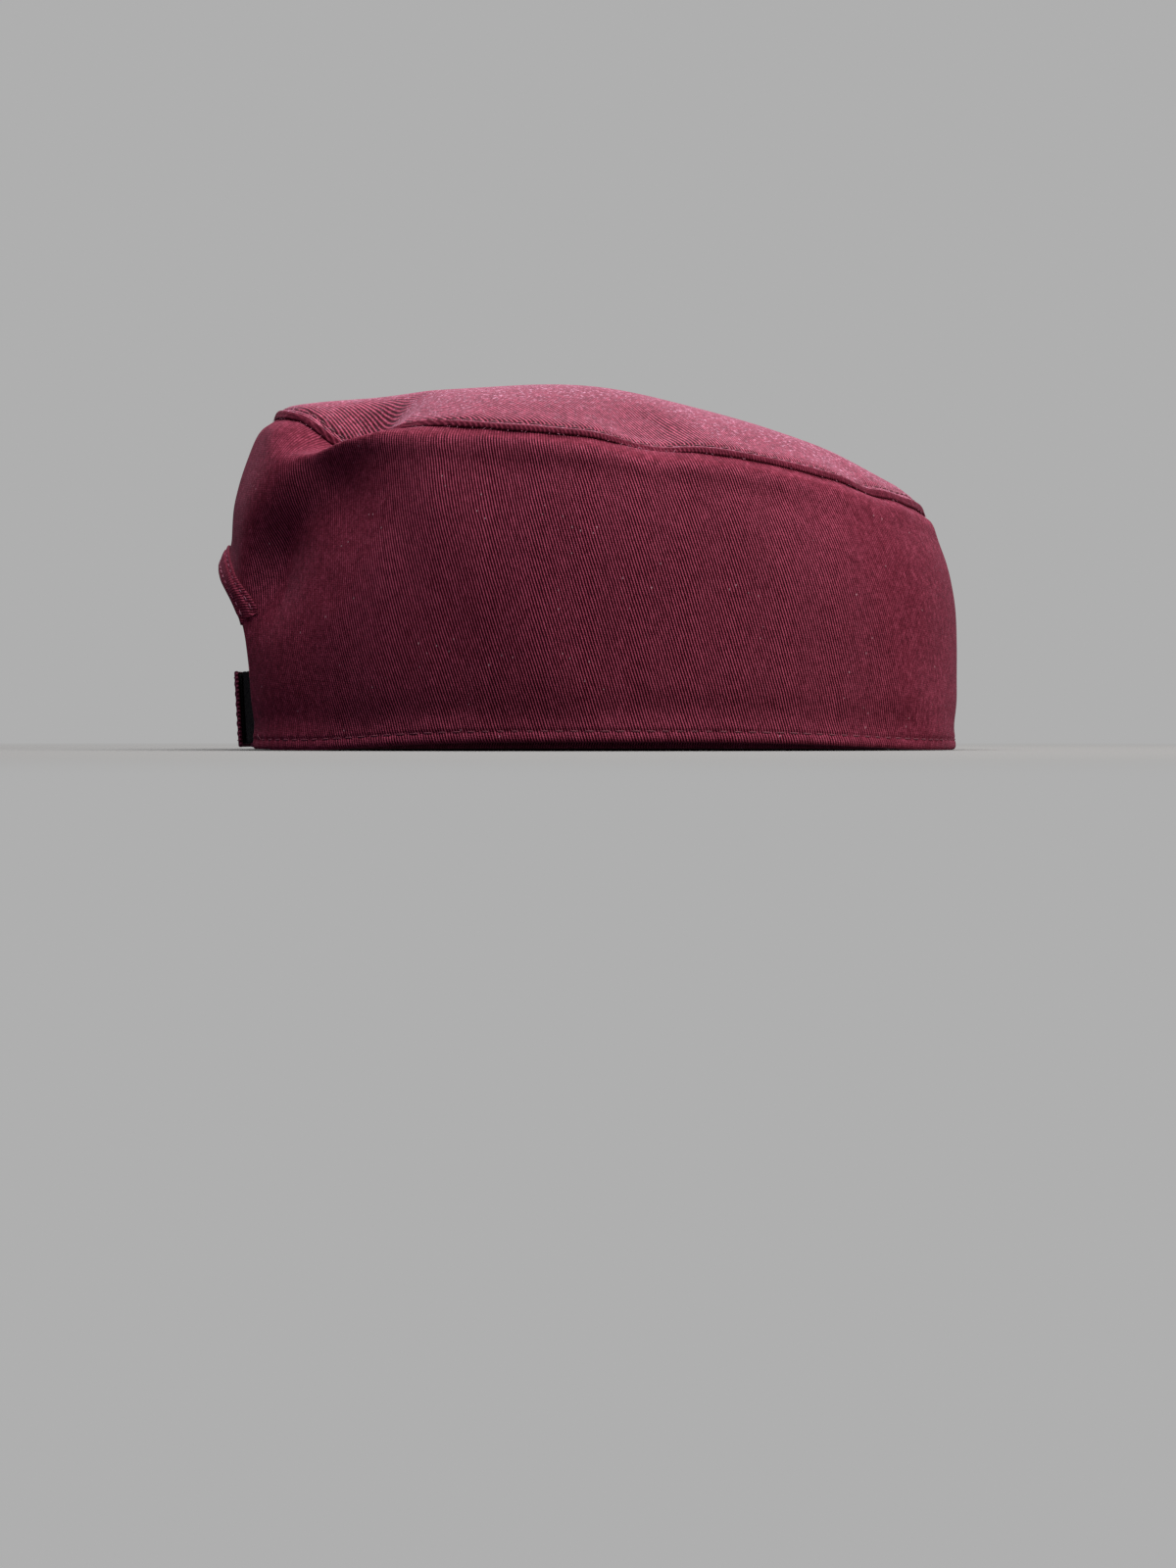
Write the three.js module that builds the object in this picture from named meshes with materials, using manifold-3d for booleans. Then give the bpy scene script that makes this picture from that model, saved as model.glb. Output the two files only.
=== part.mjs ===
// A low brimless pillbox cap of twill with an adjustable back.
// +X is the front, +Y the wearer's left, +Z up. The hem stands on z = 0. Millimetres.
import * as THREE from 'three';
import { mergeVertices } from 'three/addons/utils/BufferGeometryUtils.js';
import Module from 'manifold-3d';

const wasm = await Module();
wasm.setup();

// ---- driving dimensions -------------------------------------------------
const WALL = 1.5;          // twill wall with its seam allowances pressed flat
const HEM_WALL = 2.6;      // wall where the hem is turned up inside
const HEM_TURN = 9;        // height of that turned-up hem
const HEM_LIFT = 2.4;      // how far the hem arches off the surface at each side
const PANEL = 1.2;         // crown panel
const WELT_GAP = 0.35;     // crown panel's folded edge to the wall it laps
const WELT_THICK = 1.45;   // folded edge of the crown panel
const WELT_LAP = 0.75;     // how far that edge laps down over the wall
const SQUARENESS = 0.017;  // how far the oval fills out between its axes
const ARCH_HALF = 33.5;    // half width of the arch at the back
const ARCH_SPRING = 21.5;  // height at which its round top starts
const ARCH_CORNER = 3.5;   // rounding of the wall's two lower corners at the arch
const ARCH_FLARE = 2.0;    // how far the arch's crown stands out like an eave
const FLARE_REACH = 6;     // distance over which that dies away
const BIND_OUT = 8;        // width of the binding on the outside
const BIND_IN = 6;         // and on the inside
const BIND_END = 28;       // angle above the horizontal at which it ends, each side of the arch
const BIND_THICK = 0.9;
const BIND_GAP = 0.55;
const STRAP_LOW = 0.8;     // bottom edge of both straps
const STRAP_TALL = 22.4;
const STRAP_THICK = 1.2;
const TAPE_THICK = 0.7;
const TAPE_GAP = 0.3;
const TAPE_MARGIN = 1.3;   // twill showing above and below the tapes
const STRAP_LEAN = 1.3;    // how much further out the strap's top edge stands
const AROUND = 80;         // steps round the wall
const CROWN_AROUND = 66;   // steps round the crown panel

// ---- tables -------------------------------------------------------------
// The wall's distance from the centre, by the fraction of its height.
const profile = [
  { row: 'hem edge',       v: 0.00, front: 108.0, side: 83.9, back: 104.6 },
  { row: 'above the hem',  v: 0.08, front: 108.1, side: 83.7, back: 104.5 },
  { row: 'low',            v: 0.20, front: 108.9, side: 84.4, back: 105.2 },
  { row: 'arch springing', v: 0.31, front: 109.1, side: 84.7, back: 106.1 },
  { row: 'middle',         v: 0.45, front: 109.2, side: 84.8, back: 106.3 },
  { row: 'arch crown',     v: 0.60, front: 108.9, side: 84.4, back: 105.8 },
  { row: 'upper',          v: 0.72, front: 107.7, side: 83.4, back: 104.9 },
  { row: 'high',           v: 0.80, front: 106.4, side: 82.3, back: 103.0 },
  { row: 'shoulder',       v: 0.88, front: 104.5, side: 80.8, back: 100.3 },
  { row: 'turn',           v: 0.95, front: 102.3, side: 79.0, back: 97.0 },
  { row: 'under the welt', v: 0.98, front: 100.8, side: 77.8, back: 94.6 },
  { row: 'seam',           v: 1.00, front: 99.5,  side: 76.4, back: 92.6 },
];
// The height of the crown seam, by the angle from the front.
const seamRun = [
  { at: 0, z: 68.2 }, { at: 25, z: 71.2 }, { at: 45, z: 76.2 }, { at: 60, z: 80.6 },
  { at: 75, z: 84.2 }, { at: 90, z: 87.4 }, { at: 105, z: 89.6 }, { at: 122, z: 91.9 },
  { at: 140, z: 94.4 }, { at: 160, z: 96.6 }, { at: 180, z: 97.6 },
];
// The height of the crown panel along the middle of the cap.
const ridgeLine = [
  { x: -92.6, z: 98.6 }, { x: -89, z: 101.8 }, { x: -81, z: 103.5 }, { x: -60, z: 105.3 },
  { x: -38, z: 107.0 }, { x: -16, z: 108.5 }, { x: 2, z: 107.5 }, { x: 23, z: 103.7 },
  { x: 44, z: 98.3 }, { x: 65, z: 91.0 }, { x: 79, z: 84.7 }, { x: 90, z: 78.6 },
  { x: 96, z: 74.3 }, { x: 99.5, z: 69.8 },
];
// Places where the crown seam is pulled down and in, by the angle from the front.
const tucks = [
  { name: 'right back tuck',   at: -138, spread: 10, drop: 9.0, inward: 7.5, from: 0.84 },
  { name: 'left back tuck',    at: 139,  spread: 11, drop: 3.4, inward: 3.0, from: 0.84 },
  { name: 'right side pull',   at: -80,  spread: 6,  drop: 1.5, inward: 1.3, from: 0.90 },
  { name: 'right front pull',  at: -37,  spread: 5,  drop: 0.8, inward: 0.8, from: 0.90 },
];
// Dents of the wall, each along a line seen from the side. A ridge has a negative depth.
const folds = [
  { name: 'corner valley',     side: -1, x1: -80, z1: 76, x2: -99, z2: 60, width: 8.5, depth: 5.0 },
  { name: 'corner valley end', side: -1, x1: -92, z1: 62, x2: -95, z2: 52, width: 6.0, depth: 1.4 },
  { name: 'ridge beside it',   side: -1, x1: -78, z1: 58, x2: -92, z2: 38, width: 6.5, depth: -1.6 },
  { name: 'ridge foot',        side: -1, x1: -92, z1: 38, x2: -92, z2: 14, width: 5.5, depth: -0.9 },
  { name: 'faint valley',      side: -1, x1: -73, z1: 68, x2: -76, z2: 46, width: 6.0, depth: 1.0 },
  { name: 'faint valley foot', side: -1, x1: -76, z1: 46, x2: -86, z2: 28, width: 6.0, depth: 0.8 },
  { name: 'left valley',       side: 1,  x1: -82, z1: 76, x2: -97, z2: 60, width: 9.0, depth: 2.0 },
];
// The line that the fastened straps follow, in plan, at their outer face.
const closure = [
  { y: -42, x: -91.0 }, { y: -33.5, x: -96.0 }, { y: -22, x: -100.6 }, { y: -11, x: -103.2 },
  { y: 0, x: -104.0 }, { y: 11, x: -103.2 }, { y: 22, x: -100.6 }, { y: 33.5, x: -96.0 },
  { y: 42, x: -91.0 },
];

// ---- helpers ------------------------------------------------------------
const rad = (d) => (d * Math.PI) / 180;
const step01 = (a, b, t) => {
  const u = Math.min(1, Math.max(0, (t - a) / (b - a)));
  return u * u * (3 - 2 * u);
};
// Smooth curve through one column of a table.
function column(table, key, col, at) {
  const n = table.length;
  let i = 0;
  while (i < n - 2 && at > table[i + 1][key]) i++;
  const slope = (j) => {
    const a = table[Math.max(0, j - 1)], b = table[Math.min(n - 1, j + 1)];
    return (b[col] - a[col]) / (b[key] - a[key]);
  };
  const a = table[i], b = table[i + 1], h = b[key] - a[key];
  const t = Math.min(1, Math.max(0, (at - a[key]) / h));
  const t2 = t * t, t3 = t2 * t;
  return a[col] * (2 * t3 - 3 * t2 + 1) + slope(i) * h * (t3 - 2 * t2 + t)
    + b[col] * (3 * t2 - 2 * t3) + slope(i + 1) * h * (t3 - t2);
}
const wrap = (d) => ((d + 540) % 360) - 180;
const sub = (a, b) => [a[0] - b[0], a[1] - b[1], a[2] - b[2]];
const mad = (a, d, s) => [a[0] + d[0] * s, a[1] + d[1] * s, a[2] + d[2] * s];
const cross = (a, b) => [a[1] * b[2] - a[2] * b[1], a[2] * b[0] - a[0] * b[2], a[0] * b[1] - a[1] * b[0]];
const unit = (a) => { const l = Math.hypot(...a); return [a[0] / l, a[1] / l, a[2] / l]; };

// ---- the wall -----------------------------------------------------------
const seamHeight = (deg) => column(seamRun, 'at', 'z', Math.abs(wrap(deg)));
function hemHeight(deg) {
  const s2 = Math.sin(rad(deg)) ** 2, flat = Math.cos(rad(deg)) > 0 ? 0.12 : 0.40;
  return HEM_LIFT * step01(flat, 1, s2);
}
// Distance from a point to the arch's edge, seen from the back: positive on the wall.
function fromArch(y, z) {
  return z > ARCH_SPRING ? Math.hypot(y, z - ARCH_SPRING) - ARCH_HALF : Math.abs(y) - ARCH_HALF;
}
function eave(y, z) {
  const up = Math.max(0, z - ARCH_SPRING), lean = up / Math.max(1e-6, Math.hypot(y, up));
  return ARCH_FLARE * step01(0.55, 1.0, lean) * Math.exp(-((Math.max(0, fromArch(y, z)) / FLARE_REACH) ** 2));
}
function wallPoint(deg, v) {
  const c = Math.cos(rad(deg)), s = Math.sin(rad(deg));
  const sq = 1 + SQUARENESS * Math.sin(rad(2 * deg)) ** 2;
  const reach = column(profile, 'v', c >= 0 ? 'front' : 'back', v), side = column(profile, 'v', 'side', v);
  let x = reach * c * sq, y = side * s * sq;
  const out = unit([c / reach, s / side, 0]);
  const low = hemHeight(deg), high = seamHeight(deg);
  let z = low + v * (high - low);
  let push = 0;
  for (const k of tucks) {
    const w = Math.exp(-((wrap(deg - k.at) / k.spread) ** 2));
    z -= k.drop * w * step01(k.from - 0.06, 1, v);
    push -= k.inward * w * step01(k.from, 1.02, v);
  }
  for (const f of folds) {
    const near = step01(0, 14, y * f.side);
    if (near <= 0) continue;
    const ax = f.x2 - f.x1, az = f.z2 - f.z1;
    const t = Math.min(1, Math.max(0, ((x - f.x1) * ax + (z - f.z1) * az) / (ax * ax + az * az)));
    const d = Math.hypot(x - f.x1 - ax * t, z - f.z1 - az * t);
    push -= f.depth * near * Math.exp(-((d / f.width) ** 2));
  }
  x += out[0] * push; y += out[1] * push;
  if (x < -60) x -= eave(y, z);
  return [x, y, z];
}
function wallNormal(deg, v) {
  const va = Math.max(0, v - 0.01), vb = Math.min(1, v + 0.01);
  return unit(cross(sub(wallPoint(deg + 0.6, v), wallPoint(deg - 0.6, v)), sub(wallPoint(deg, vb), wallPoint(deg, va))));
}
// The place on the wall, at the back, that has a given y and z.
function backPlace(y, z) {
  let deg = 180 - (Math.asin(Math.max(-0.95, Math.min(0.95, y / 84))) * 180) / Math.PI, v = z / 96;
  for (let k = 0; k < 12; k++) {
    const p = wallPoint(deg, v), a = wallPoint(deg + 0.05, v), b = wallPoint(deg, v + 0.001);
    const j11 = (a[1] - p[1]) / 0.05, j12 = (b[1] - p[1]) / 0.001, j21 = (a[2] - p[2]) / 0.05, j22 = (b[2] - p[2]) / 0.001;
    const ey = y - p[1], ez = z - p[2], det = j11 * j22 - j12 * j21;
    deg += (ey * j22 - ez * j12) / det; v += (j11 * ez - j21 * ey) / det;
    v = Math.min(1, Math.max(0, v));
  }
  return { deg, v };
}

// ---- solids from grids --------------------------------------------------
// Closed solid from loops of points, each loop a closed section, and the sections in a ring.
function ringSolid(sections) {
  const m = sections.length, n = sections[0].length, pos = [], idx = [];
  for (const s of sections) for (const p of s) pos.push(...p);
  for (let i = 0; i < m; i++) for (let j = 0; j < n; j++) {
    const a = i * n + j, b = ((i + 1) % m) * n + j, c = ((i + 1) % m) * n + ((j + 1) % n), d = i * n + ((j + 1) % n);
    idx.push(a, b, c, a, c, d);
  }
  return geometryOf(pos, idx);
}
// Closed solid from open run of closed sections, with flat ends.
function runSolid(sections) {
  const m = sections.length, n = sections[0].length, pos = [], idx = [];
  for (const s of sections) for (const p of s) pos.push(...p);
  for (let i = 0; i < m - 1; i++) for (let j = 0; j < n; j++) {
    const a = i * n + j, b = (i + 1) * n + j, c = (i + 1) * n + ((j + 1) % n), d = i * n + ((j + 1) % n);
    idx.push(a, b, c, a, c, d);
  }
  return { pos, idx, m, n };
}
function geometryOf(pos, idx) {
  const g = new THREE.BufferGeometry();
  g.setAttribute('position', new THREE.Float32BufferAttribute(pos, 3));
  g.setIndex(idx);
  return facingOut(g);
}
function volumeOf(g) {
  const p = g.attributes.position, i = g.index;
  let v = 0;
  for (let k = 0; k < i.count; k += 3) {
    const [a, b, c] = [i.getX(k), i.getX(k + 1), i.getX(k + 2)].map((q) => [p.getX(q), p.getY(q), p.getZ(q)]);
    const n = cross(b, c);
    v += (a[0] * n[0] + a[1] * n[1] + a[2] * n[2]) / 6;
  }
  return v;
}
function facingOut(g) {
  if (volumeOf(g) < 0) {
    const i = g.index.array;
    for (let k = 0; k < i.length; k += 3) [i[k + 1], i[k + 2]] = [i[k + 2], i[k + 1]];
  }
  g.computeVertexNormals();
  return g;
}
function toManifold(geometry) {
  const g = geometry.clone();
  g.deleteAttribute('normal');
  if (g.attributes.uv) g.deleteAttribute('uv');
  const merged = mergeVertices(g, 1e-4);
  return new wasm.Manifold(new wasm.Mesh({
    numProp: 3,
    vertProperties: new Float32Array(merged.attributes.position.array),
    triVerts: new Uint32Array(merged.index.array),
  }));
}
function fromManifold(solid) {
  const m = solid.getMesh();
  return geometryOf(Array.from(m.vertProperties), Array.from(m.triVerts));
}

// ---- side band ----------------------------------------------------------
// The hem's turn is trimmed away where the straps come in at the back.
const wallThickness = (deg) => WALL + (HEM_WALL - WALL) * (1 - step01(146, 150, Math.abs(wrap(deg))));
function bandSection(deg) {
  const outer = [0, 0.03, 0.09, 0.2, 0.3, 0.38, 0.45, 0.51, 0.56, 0.61, 0.67, 0.74, 0.81, 0.87, 0.92, 0.96, 1];
  const inner = [1, 0.93, 0.86, 0.78, 0.7, 0.63, 0.575, 0.525, 0.475, 0.42, 0.35, 0.22];
  const pts = outer.map((v) => wallPoint(deg, v));
  const inset = (v, t) => mad(wallPoint(deg, v), wallNormal(deg, v), -t);
  for (const v of inner) pts.push(inset(v, WALL));
  const tall = seamHeight(deg) - hemHeight(deg), vTurn = HEM_TURN / tall, thick = wallThickness(deg);
  pts.push(inset(vTurn + 0.008, WALL + 0.01));
  pts.push(inset(vTurn, thick));
  const flat = unit([Math.cos(rad(deg)) / 105, Math.sin(rad(deg)) / 84, 0]);
  const foot = mad(wallPoint(deg, 0), flat, -thick);
  foot[2] = hemHeight(deg);
  pts.push(foot);
  return pts;
}
// Steps round the cap are closer together at the back, where the folds are.
const angles = [];
for (let i = 0; i < AROUND; i++) {
  const t = (i / AROUND) * 360;
  angles.push(t + 10 * Math.sin(rad(t)));
}
const bandFull = toManifold(ringSolid(angles.map(bandSection)));
// The arch, cut from the back.
const archShape = new THREE.Shape();
archShape.moveTo(ARCH_HALF + ARCH_CORNER, -6);
archShape.lineTo(ARCH_HALF + ARCH_CORNER, 0);
archShape.absarc(ARCH_HALF + ARCH_CORNER, ARCH_CORNER, ARCH_CORNER, -Math.PI / 2, Math.PI, true);
archShape.lineTo(ARCH_HALF, ARCH_SPRING);
archShape.absarc(0, ARCH_SPRING, ARCH_HALF, 0, Math.PI, false);
archShape.lineTo(-ARCH_HALF, ARCH_CORNER);
archShape.absarc(-ARCH_HALF - ARCH_CORNER, ARCH_CORNER, ARCH_CORNER, 0, -Math.PI / 2, true);
archShape.lineTo(-ARCH_HALF - ARCH_CORNER, -6);
archShape.closePath();
const archCut = new THREE.ExtrudeGeometry(archShape, { depth: 90, bevelEnabled: false, curveSegments: 28 });
// Shape x, y, depth become y, z, x.
archCut.applyMatrix4(new THREE.Matrix4().set(0, 0, 1, -150, 1, 0, 0, 0, 0, 1, 0, 0, 0, 0, 0, 1));
const band = fromManifold(bandFull.subtract(toManifold(facingOut(mergeVertices((() => {
  const g = archCut.clone();
  g.deleteAttribute('normal');
  g.deleteAttribute('uv');
  return g;
})(), 1e-4)))));

// ---- top panel ----------------------------------------------------------
function domeHeight(x, y) {
  const reach = x >= 0 ? 99.5 : 92.6, side = 76.4;
  const c = Math.max(-1, Math.min(1, x / reach)), deg = (Math.acos(c) * 180) / Math.PI;
  const half = Math.max(2, side * Math.sqrt(Math.max(0, 1 - c * c)));
  const t = Math.min(1.05, Math.abs(y) / half);
  const mid = column(ridgeLine, 'x', 'z', Math.max(-92.6, Math.min(99.5, x))), edge = seamHeight(deg);
  return mid - Math.max(0, mid - edge) * t * t;
}
function seamFrame(deg) {
  const p = wallPoint(deg, 1), n = wallNormal(deg, 1), down = unit(sub(wallPoint(deg, 0.975), p));
  return { p, n, down };
}
function domePoint(deg, r) {
  const c = Math.cos(rad(deg)), s = Math.sin(rad(deg)), sq = 1 + SQUARENESS * Math.sin(rad(2 * deg)) ** 2;
  const reach = c >= 0 ? 99.5 : 92.6;
  const base = (q) => [q * reach * c * sq, q * 76.4 * s * sq, domeHeight(q * reach * c * sq, q * 76.4 * s * sq)];
  const f = seamFrame(deg);
  const b = base(r), b1 = base(1);
  // The edge follows the seam and its tucks, and the folded edge stands proud.
  const pull = sub(f.p, b1), welt = WELT_GAP + WELT_THICK;
  const a = step01(0.62, 1, r), w = step01(0.955, 0.995, r);
  return mad(mad(b, pull, a), f.n, welt * w);
}
function domeNormal(deg, r) {
  const ra = Math.max(0.02, r - 0.01), rb = Math.min(1, r + 0.01);
  const n = unit(cross(sub(domePoint(deg, rb), domePoint(deg, ra)), sub(domePoint(deg + 0.8, r), domePoint(deg - 0.8, r))));
  return n[2] < 0 ? [-n[0], -n[1], -n[2]] : n;
}
const domeRows = [0.14, 0.3, 0.46, 0.6, 0.72, 0.82, 0.9, 0.95, 0.975, 1];
const underRows = [0.955, 0.9, 0.82, 0.7, 0.54, 0.36, 0.18];
function domeSection(deg) {
  const f = seamFrame(deg), top = WELT_GAP + WELT_THICK;
  const pts = domeRows.map((r) => domePoint(deg, r));
  const rim = [
    { lap: 0.72, off: top - 0.22 }, { lap: 1, off: WELT_GAP + WELT_THICK * 0.5 },
    { lap: 0.8, off: WELT_GAP + 0.1 }, { lap: 0, off: WELT_GAP },
  ];
  for (const k of rim) pts.push(mad(mad(f.p, f.down, WELT_LAP * k.lap), f.n, k.off));
  for (const r of underRows) pts.push(mad(domePoint(deg, r), domeNormal(deg, r), -PANEL));
  return pts;
}
function domeSolid(steps) {
  const pos = [], idx = [];
  const centre = domePoint(0, 0);
  pos.push(...centre, centre[0], centre[1], centre[2] - PANEL);
  const secs = [];
  for (let i = 0; i < steps; i++) {
    const t = (i / steps) * 360;
    secs.push(domeSection(t + 10 * Math.sin(rad(t))));
  }
  const n = secs[0].length;
  for (const s of secs) for (const p of s) pos.push(...p);
  for (let i = 0; i < steps; i++) {
    const k = (i + 1) % steps;
    idx.push(0, 2 + i * n, 2 + k * n);
    for (let j = 0; j < n - 1; j++) {
      const a = 2 + i * n + j, b = 2 + k * n + j;
      idx.push(a, a + 1, b + 1, a, b + 1, b);
    }
    idx.push(1, 2 + k * n + n - 1, 2 + i * n + n - 1);
  }
  return geometryOf(pos, idx);
}
const crown = domeSolid(CROWN_AROUND);

// ---- arch binding -------------------------------------------------------
function archStations() {
  const out = [];
  const steps = 20;
  for (let i = 0; i <= steps; i++) {
    const a = 180 - BIND_END - ((180 - 2 * BIND_END) * i) / steps, c = Math.cos(rad(a)), s = Math.sin(rad(a));
    out.push({ y: ARCH_HALF * c, z: ARCH_SPRING + ARCH_HALF * s, ey: c, ez: s });
  }
  return out;
}
const bindSection = (() => {
  const g = BIND_GAP, t = BIND_THICK, w = WALL;
  return [
    { d: BIND_OUT, n: g }, { d: BIND_OUT, n: g + t * 0.8 }, { d: 5, n: g + t }, { d: 1, n: g + t }, { d: -0.6, n: g + t * 0.7 },
    { d: -g - t, n: -0.2 }, { d: -g - t, n: -w + 0.2 }, { d: -0.6, n: -w - g - t * 0.7 }, { d: 0.6, n: -w - g - t },
    { d: BIND_IN, n: -w - g - t }, { d: BIND_IN, n: -w - g }, { d: 0, n: -w - g }, { d: -g, n: -w + 0.1 }, { d: -g, n: -0.1 },
    { d: 0, n: g }, { d: 5, n: g },
  ];
})();
function bindPoint(st, d, n) {
  const at = backPlace(st.y + st.ey * d, Math.max(0, st.z + st.ez * d));
  return mad(wallPoint(at.deg, at.v), wallNormal(at.deg, at.v), n);
}
// Both ends of a run are closed by the flat outline of its section.
function capped(run, outline) {
  const { pos, idx, m, n } = run, k = (m - 1) * n;
  const area = THREE.ShapeUtils.area(outline);
  for (let [a, b, c] of THREE.ShapeUtils.triangulateShape(outline, [])) {
    const turn = (outline[b].x - outline[a].x) * (outline[c].y - outline[a].y) - (outline[c].x - outline[a].x) * (outline[b].y - outline[a].y);
    if (turn * area < 0) [b, c] = [c, b];
    idx.push(a, b, c, k + a, k + c, k + b);
  }
  return geometryOf(pos, idx);
}
// ---- straps and tapes ---------------------------------------------------
const closureX = (y) => column(closure, 'y', 'x', y);
function strapSolid({ from, to, low, high, deep, thick, steps }) {
  const secs = [];
  for (let i = 0; i <= steps; i++) {
    const y = from + ((to - from) * i) / steps;
    const slope = (closureX(y + 0.5) - closureX(y - 0.5)), n = unit([-1, slope, 0]);
    const d = deep(y);
    const at = (z, depth) => {
      const lean = STRAP_LEAN * (z / (STRAP_LOW + STRAP_TALL) - 0.5) * step01(-34, -12, y) * step01(-34, -12, -y);
      const q = mad([closureX(y) - lean, y, z], n, -depth);
      return q;
    };
    secs.push([at(low, d), at(high, d), at(high, d + thick), at(low, d + thick)]);
  }
  const run = runSolid(secs), { pos, idx, m } = run;
  idx.push(0, 1, 2, 0, 2, 3);
  const k = (m - 1) * 4;
  idx.push(k, k + 2, k + 1, k, k + 3, k + 2);
  return geometryOf(pos, idx);
}
const HIGH = STRAP_LOW + STRAP_TALL;
const hookDepth = STRAP_THICK + TAPE_GAP, loopDepth = hookDepth + TAPE_THICK + TAPE_GAP, tabDepth = loopDepth + TAPE_THICK + TAPE_GAP;
// The strap lies outside over the tab, and dips inside the wall at its root.
const dive = (y) => (tabDepth + 0.1) * step01(17, 31, y);
const strap = strapSolid({ from: -11.5, to: 42, low: STRAP_LOW, high: HIGH, deep: dive, thick: STRAP_THICK, steps: 22 });
const hookTape = strapSolid({ from: -10.3, to: 14, low: STRAP_LOW + TAPE_MARGIN, high: HIGH - TAPE_MARGIN, deep: () => hookDepth, thick: TAPE_THICK, steps: 9 });
const loopTape = strapSolid({ from: -32, to: 15, low: STRAP_LOW + TAPE_MARGIN, high: HIGH - TAPE_MARGIN * 0.4, deep: () => loopDepth, thick: TAPE_THICK, steps: 16 });
const tab = strapSolid({ from: -42, to: 16.5, low: STRAP_LOW, high: HIGH, deep: () => tabDepth, thick: STRAP_THICK, steps: 20 });
const binding = capped(
  runSolid(archStations().map((st) => bindSection.map((k) => bindPoint(st, k.d, k.n)))),
  bindSection.map((k) => new THREE.Vector2(k.d, k.n)),
);

// ---- the cap ------------------------------------------------------------
const cap = new THREE.Group();
const twill = (hex, rough) => new THREE.MeshStandardMaterial({ color: hex, roughness: rough, metalness: 0, side: THREE.FrontSide });
function piece(name, geometry, material) {
  const m = new THREE.Mesh(geometry, material);
  m.name = name;
  cap.add(m);
}
piece('side_band', band, twill(0x5a2030, 0.85));
piece('top_panel', crown, twill(0x8a4458, 0.85));
piece('arch_binding', binding, twill(0x54202f, 0.86));
piece('strap', strap, twill(0x4d1a2f, 0.86));
piece('strap_hook_tape', hookTape, twill(0x08090b, 0.7));
piece('tab', tab, twill(0x4f1c2e, 0.86));
piece('tab_loop_tape', loopTape, twill(0x050608, 0.95));

export default cap;
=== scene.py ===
import math

import bpy
import numpy as np
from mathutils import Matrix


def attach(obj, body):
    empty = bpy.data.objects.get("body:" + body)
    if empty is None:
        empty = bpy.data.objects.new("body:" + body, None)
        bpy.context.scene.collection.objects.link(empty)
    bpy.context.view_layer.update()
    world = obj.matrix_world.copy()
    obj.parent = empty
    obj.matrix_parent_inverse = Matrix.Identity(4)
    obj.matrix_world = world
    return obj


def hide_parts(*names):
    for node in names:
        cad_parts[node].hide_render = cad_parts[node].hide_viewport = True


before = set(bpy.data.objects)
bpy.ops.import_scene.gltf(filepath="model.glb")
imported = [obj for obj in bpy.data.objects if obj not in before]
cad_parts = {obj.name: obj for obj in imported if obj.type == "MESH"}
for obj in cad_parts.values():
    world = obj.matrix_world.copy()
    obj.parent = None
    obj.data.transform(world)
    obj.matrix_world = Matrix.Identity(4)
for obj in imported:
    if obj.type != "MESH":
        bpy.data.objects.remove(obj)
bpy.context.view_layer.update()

# =====================================================================
# A low brimless pillbox cap of burgundy twill with an adjustable back.
# +X is the front, +Y the wearer's left, +Z up. The shape is worked out
# in millimetres and made in metres.
# =====================================================================
MM = 0.001
WALL, HEM_WALL, HEM_TURN, HEM_LIFT = 1.5, 2.3, 9.0, 2.4
WELT_THICK, WELT_LAP = 1.12, 0.60
PANEL = 1.2
SQUARENESS = 0.017
ARCH_HALF, ARCH_SPRING, ARCH_CORNER = 33.5, 20.9, 3.2
ARCH_FLARE, FLARE_REACH = 2.9, 4.2
WALE_PITCH, WALL_SLANT = 0.80, 17.0
BIND_OUT, BIND_IN, BIND_THICK, BIND_END = 5.9, 5.3, 0.8, 28.0
STRAP_LOW, STRAP_TALL, STRAP_THICK, STRAP_LEAN = 0.8, 22.4, 1.2, 1.3
TAPE_THICK, TAPE_GAP, TAPE_MARGIN = 0.7, 0.3, 1.3
CROWN_FRONT, CROWN_BACK, CROWN_SIDE = 99.5, 92.6, 76.4
HEM_STITCH_AT, HEM_STITCH_PITCH = 3.1, 4.2
CROWN_STITCH_AT, CROWN_STITCH_PITCH = 2.4, 3.9

# v, front, side, back
PROFILE = np.array([
    (0.00, 108.8, 83.9, 104.6), (0.08, 109.0, 83.7, 104.5), (0.20, 109.2, 84.4, 105.2),
    (0.31, 109.1, 84.7, 106.1), (0.45, 109.0, 84.8, 106.3), (0.60, 108.4, 84.4, 105.8),
    (0.72, 107.0, 83.4, 104.9), (0.80, 105.6, 82.3, 103.0), (0.88, 103.6, 80.8, 100.3),
    (0.95, 101.9, 79.4, 97.4), (0.98, 100.6, 78.0, 95.0), (1.00, 99.0, 75.9, 92.2)])
# angle from the front, height of the crown seam
SEAM = np.array([
    (0, 68.2), (25, 71.2), (45, 76.2), (60, 80.6), (75, 84.2), (90, 87.4), (105, 89.6),
    (122, 91.9), (140, 94.4), (160, 96.6), (180, 97.6)], float)
# x, height of the crown along the middle
RIDGE = np.array([
    (-92.6, 97.4), (-89, 100.0), (-81, 101.5), (-60, 103.2), (-38, 104.8), (-16, 106.2), (2, 105.3),
    (23, 101.6), (44, 96.2), (65, 88.9), (79, 82.8), (90, 77.2), (96, 73.2), (99.5, 68.8)], float)
# at, spread, drop, inward, from
TUCKS = [
    ("left back tuck", 139, 11, 3.4, 3.0, 0.84),
    ("right side pull", -80, 6, 1.5, 1.3, 0.90),
    ("right front pull", -37, 5, 0.8, 0.8, 0.90),
]
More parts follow.
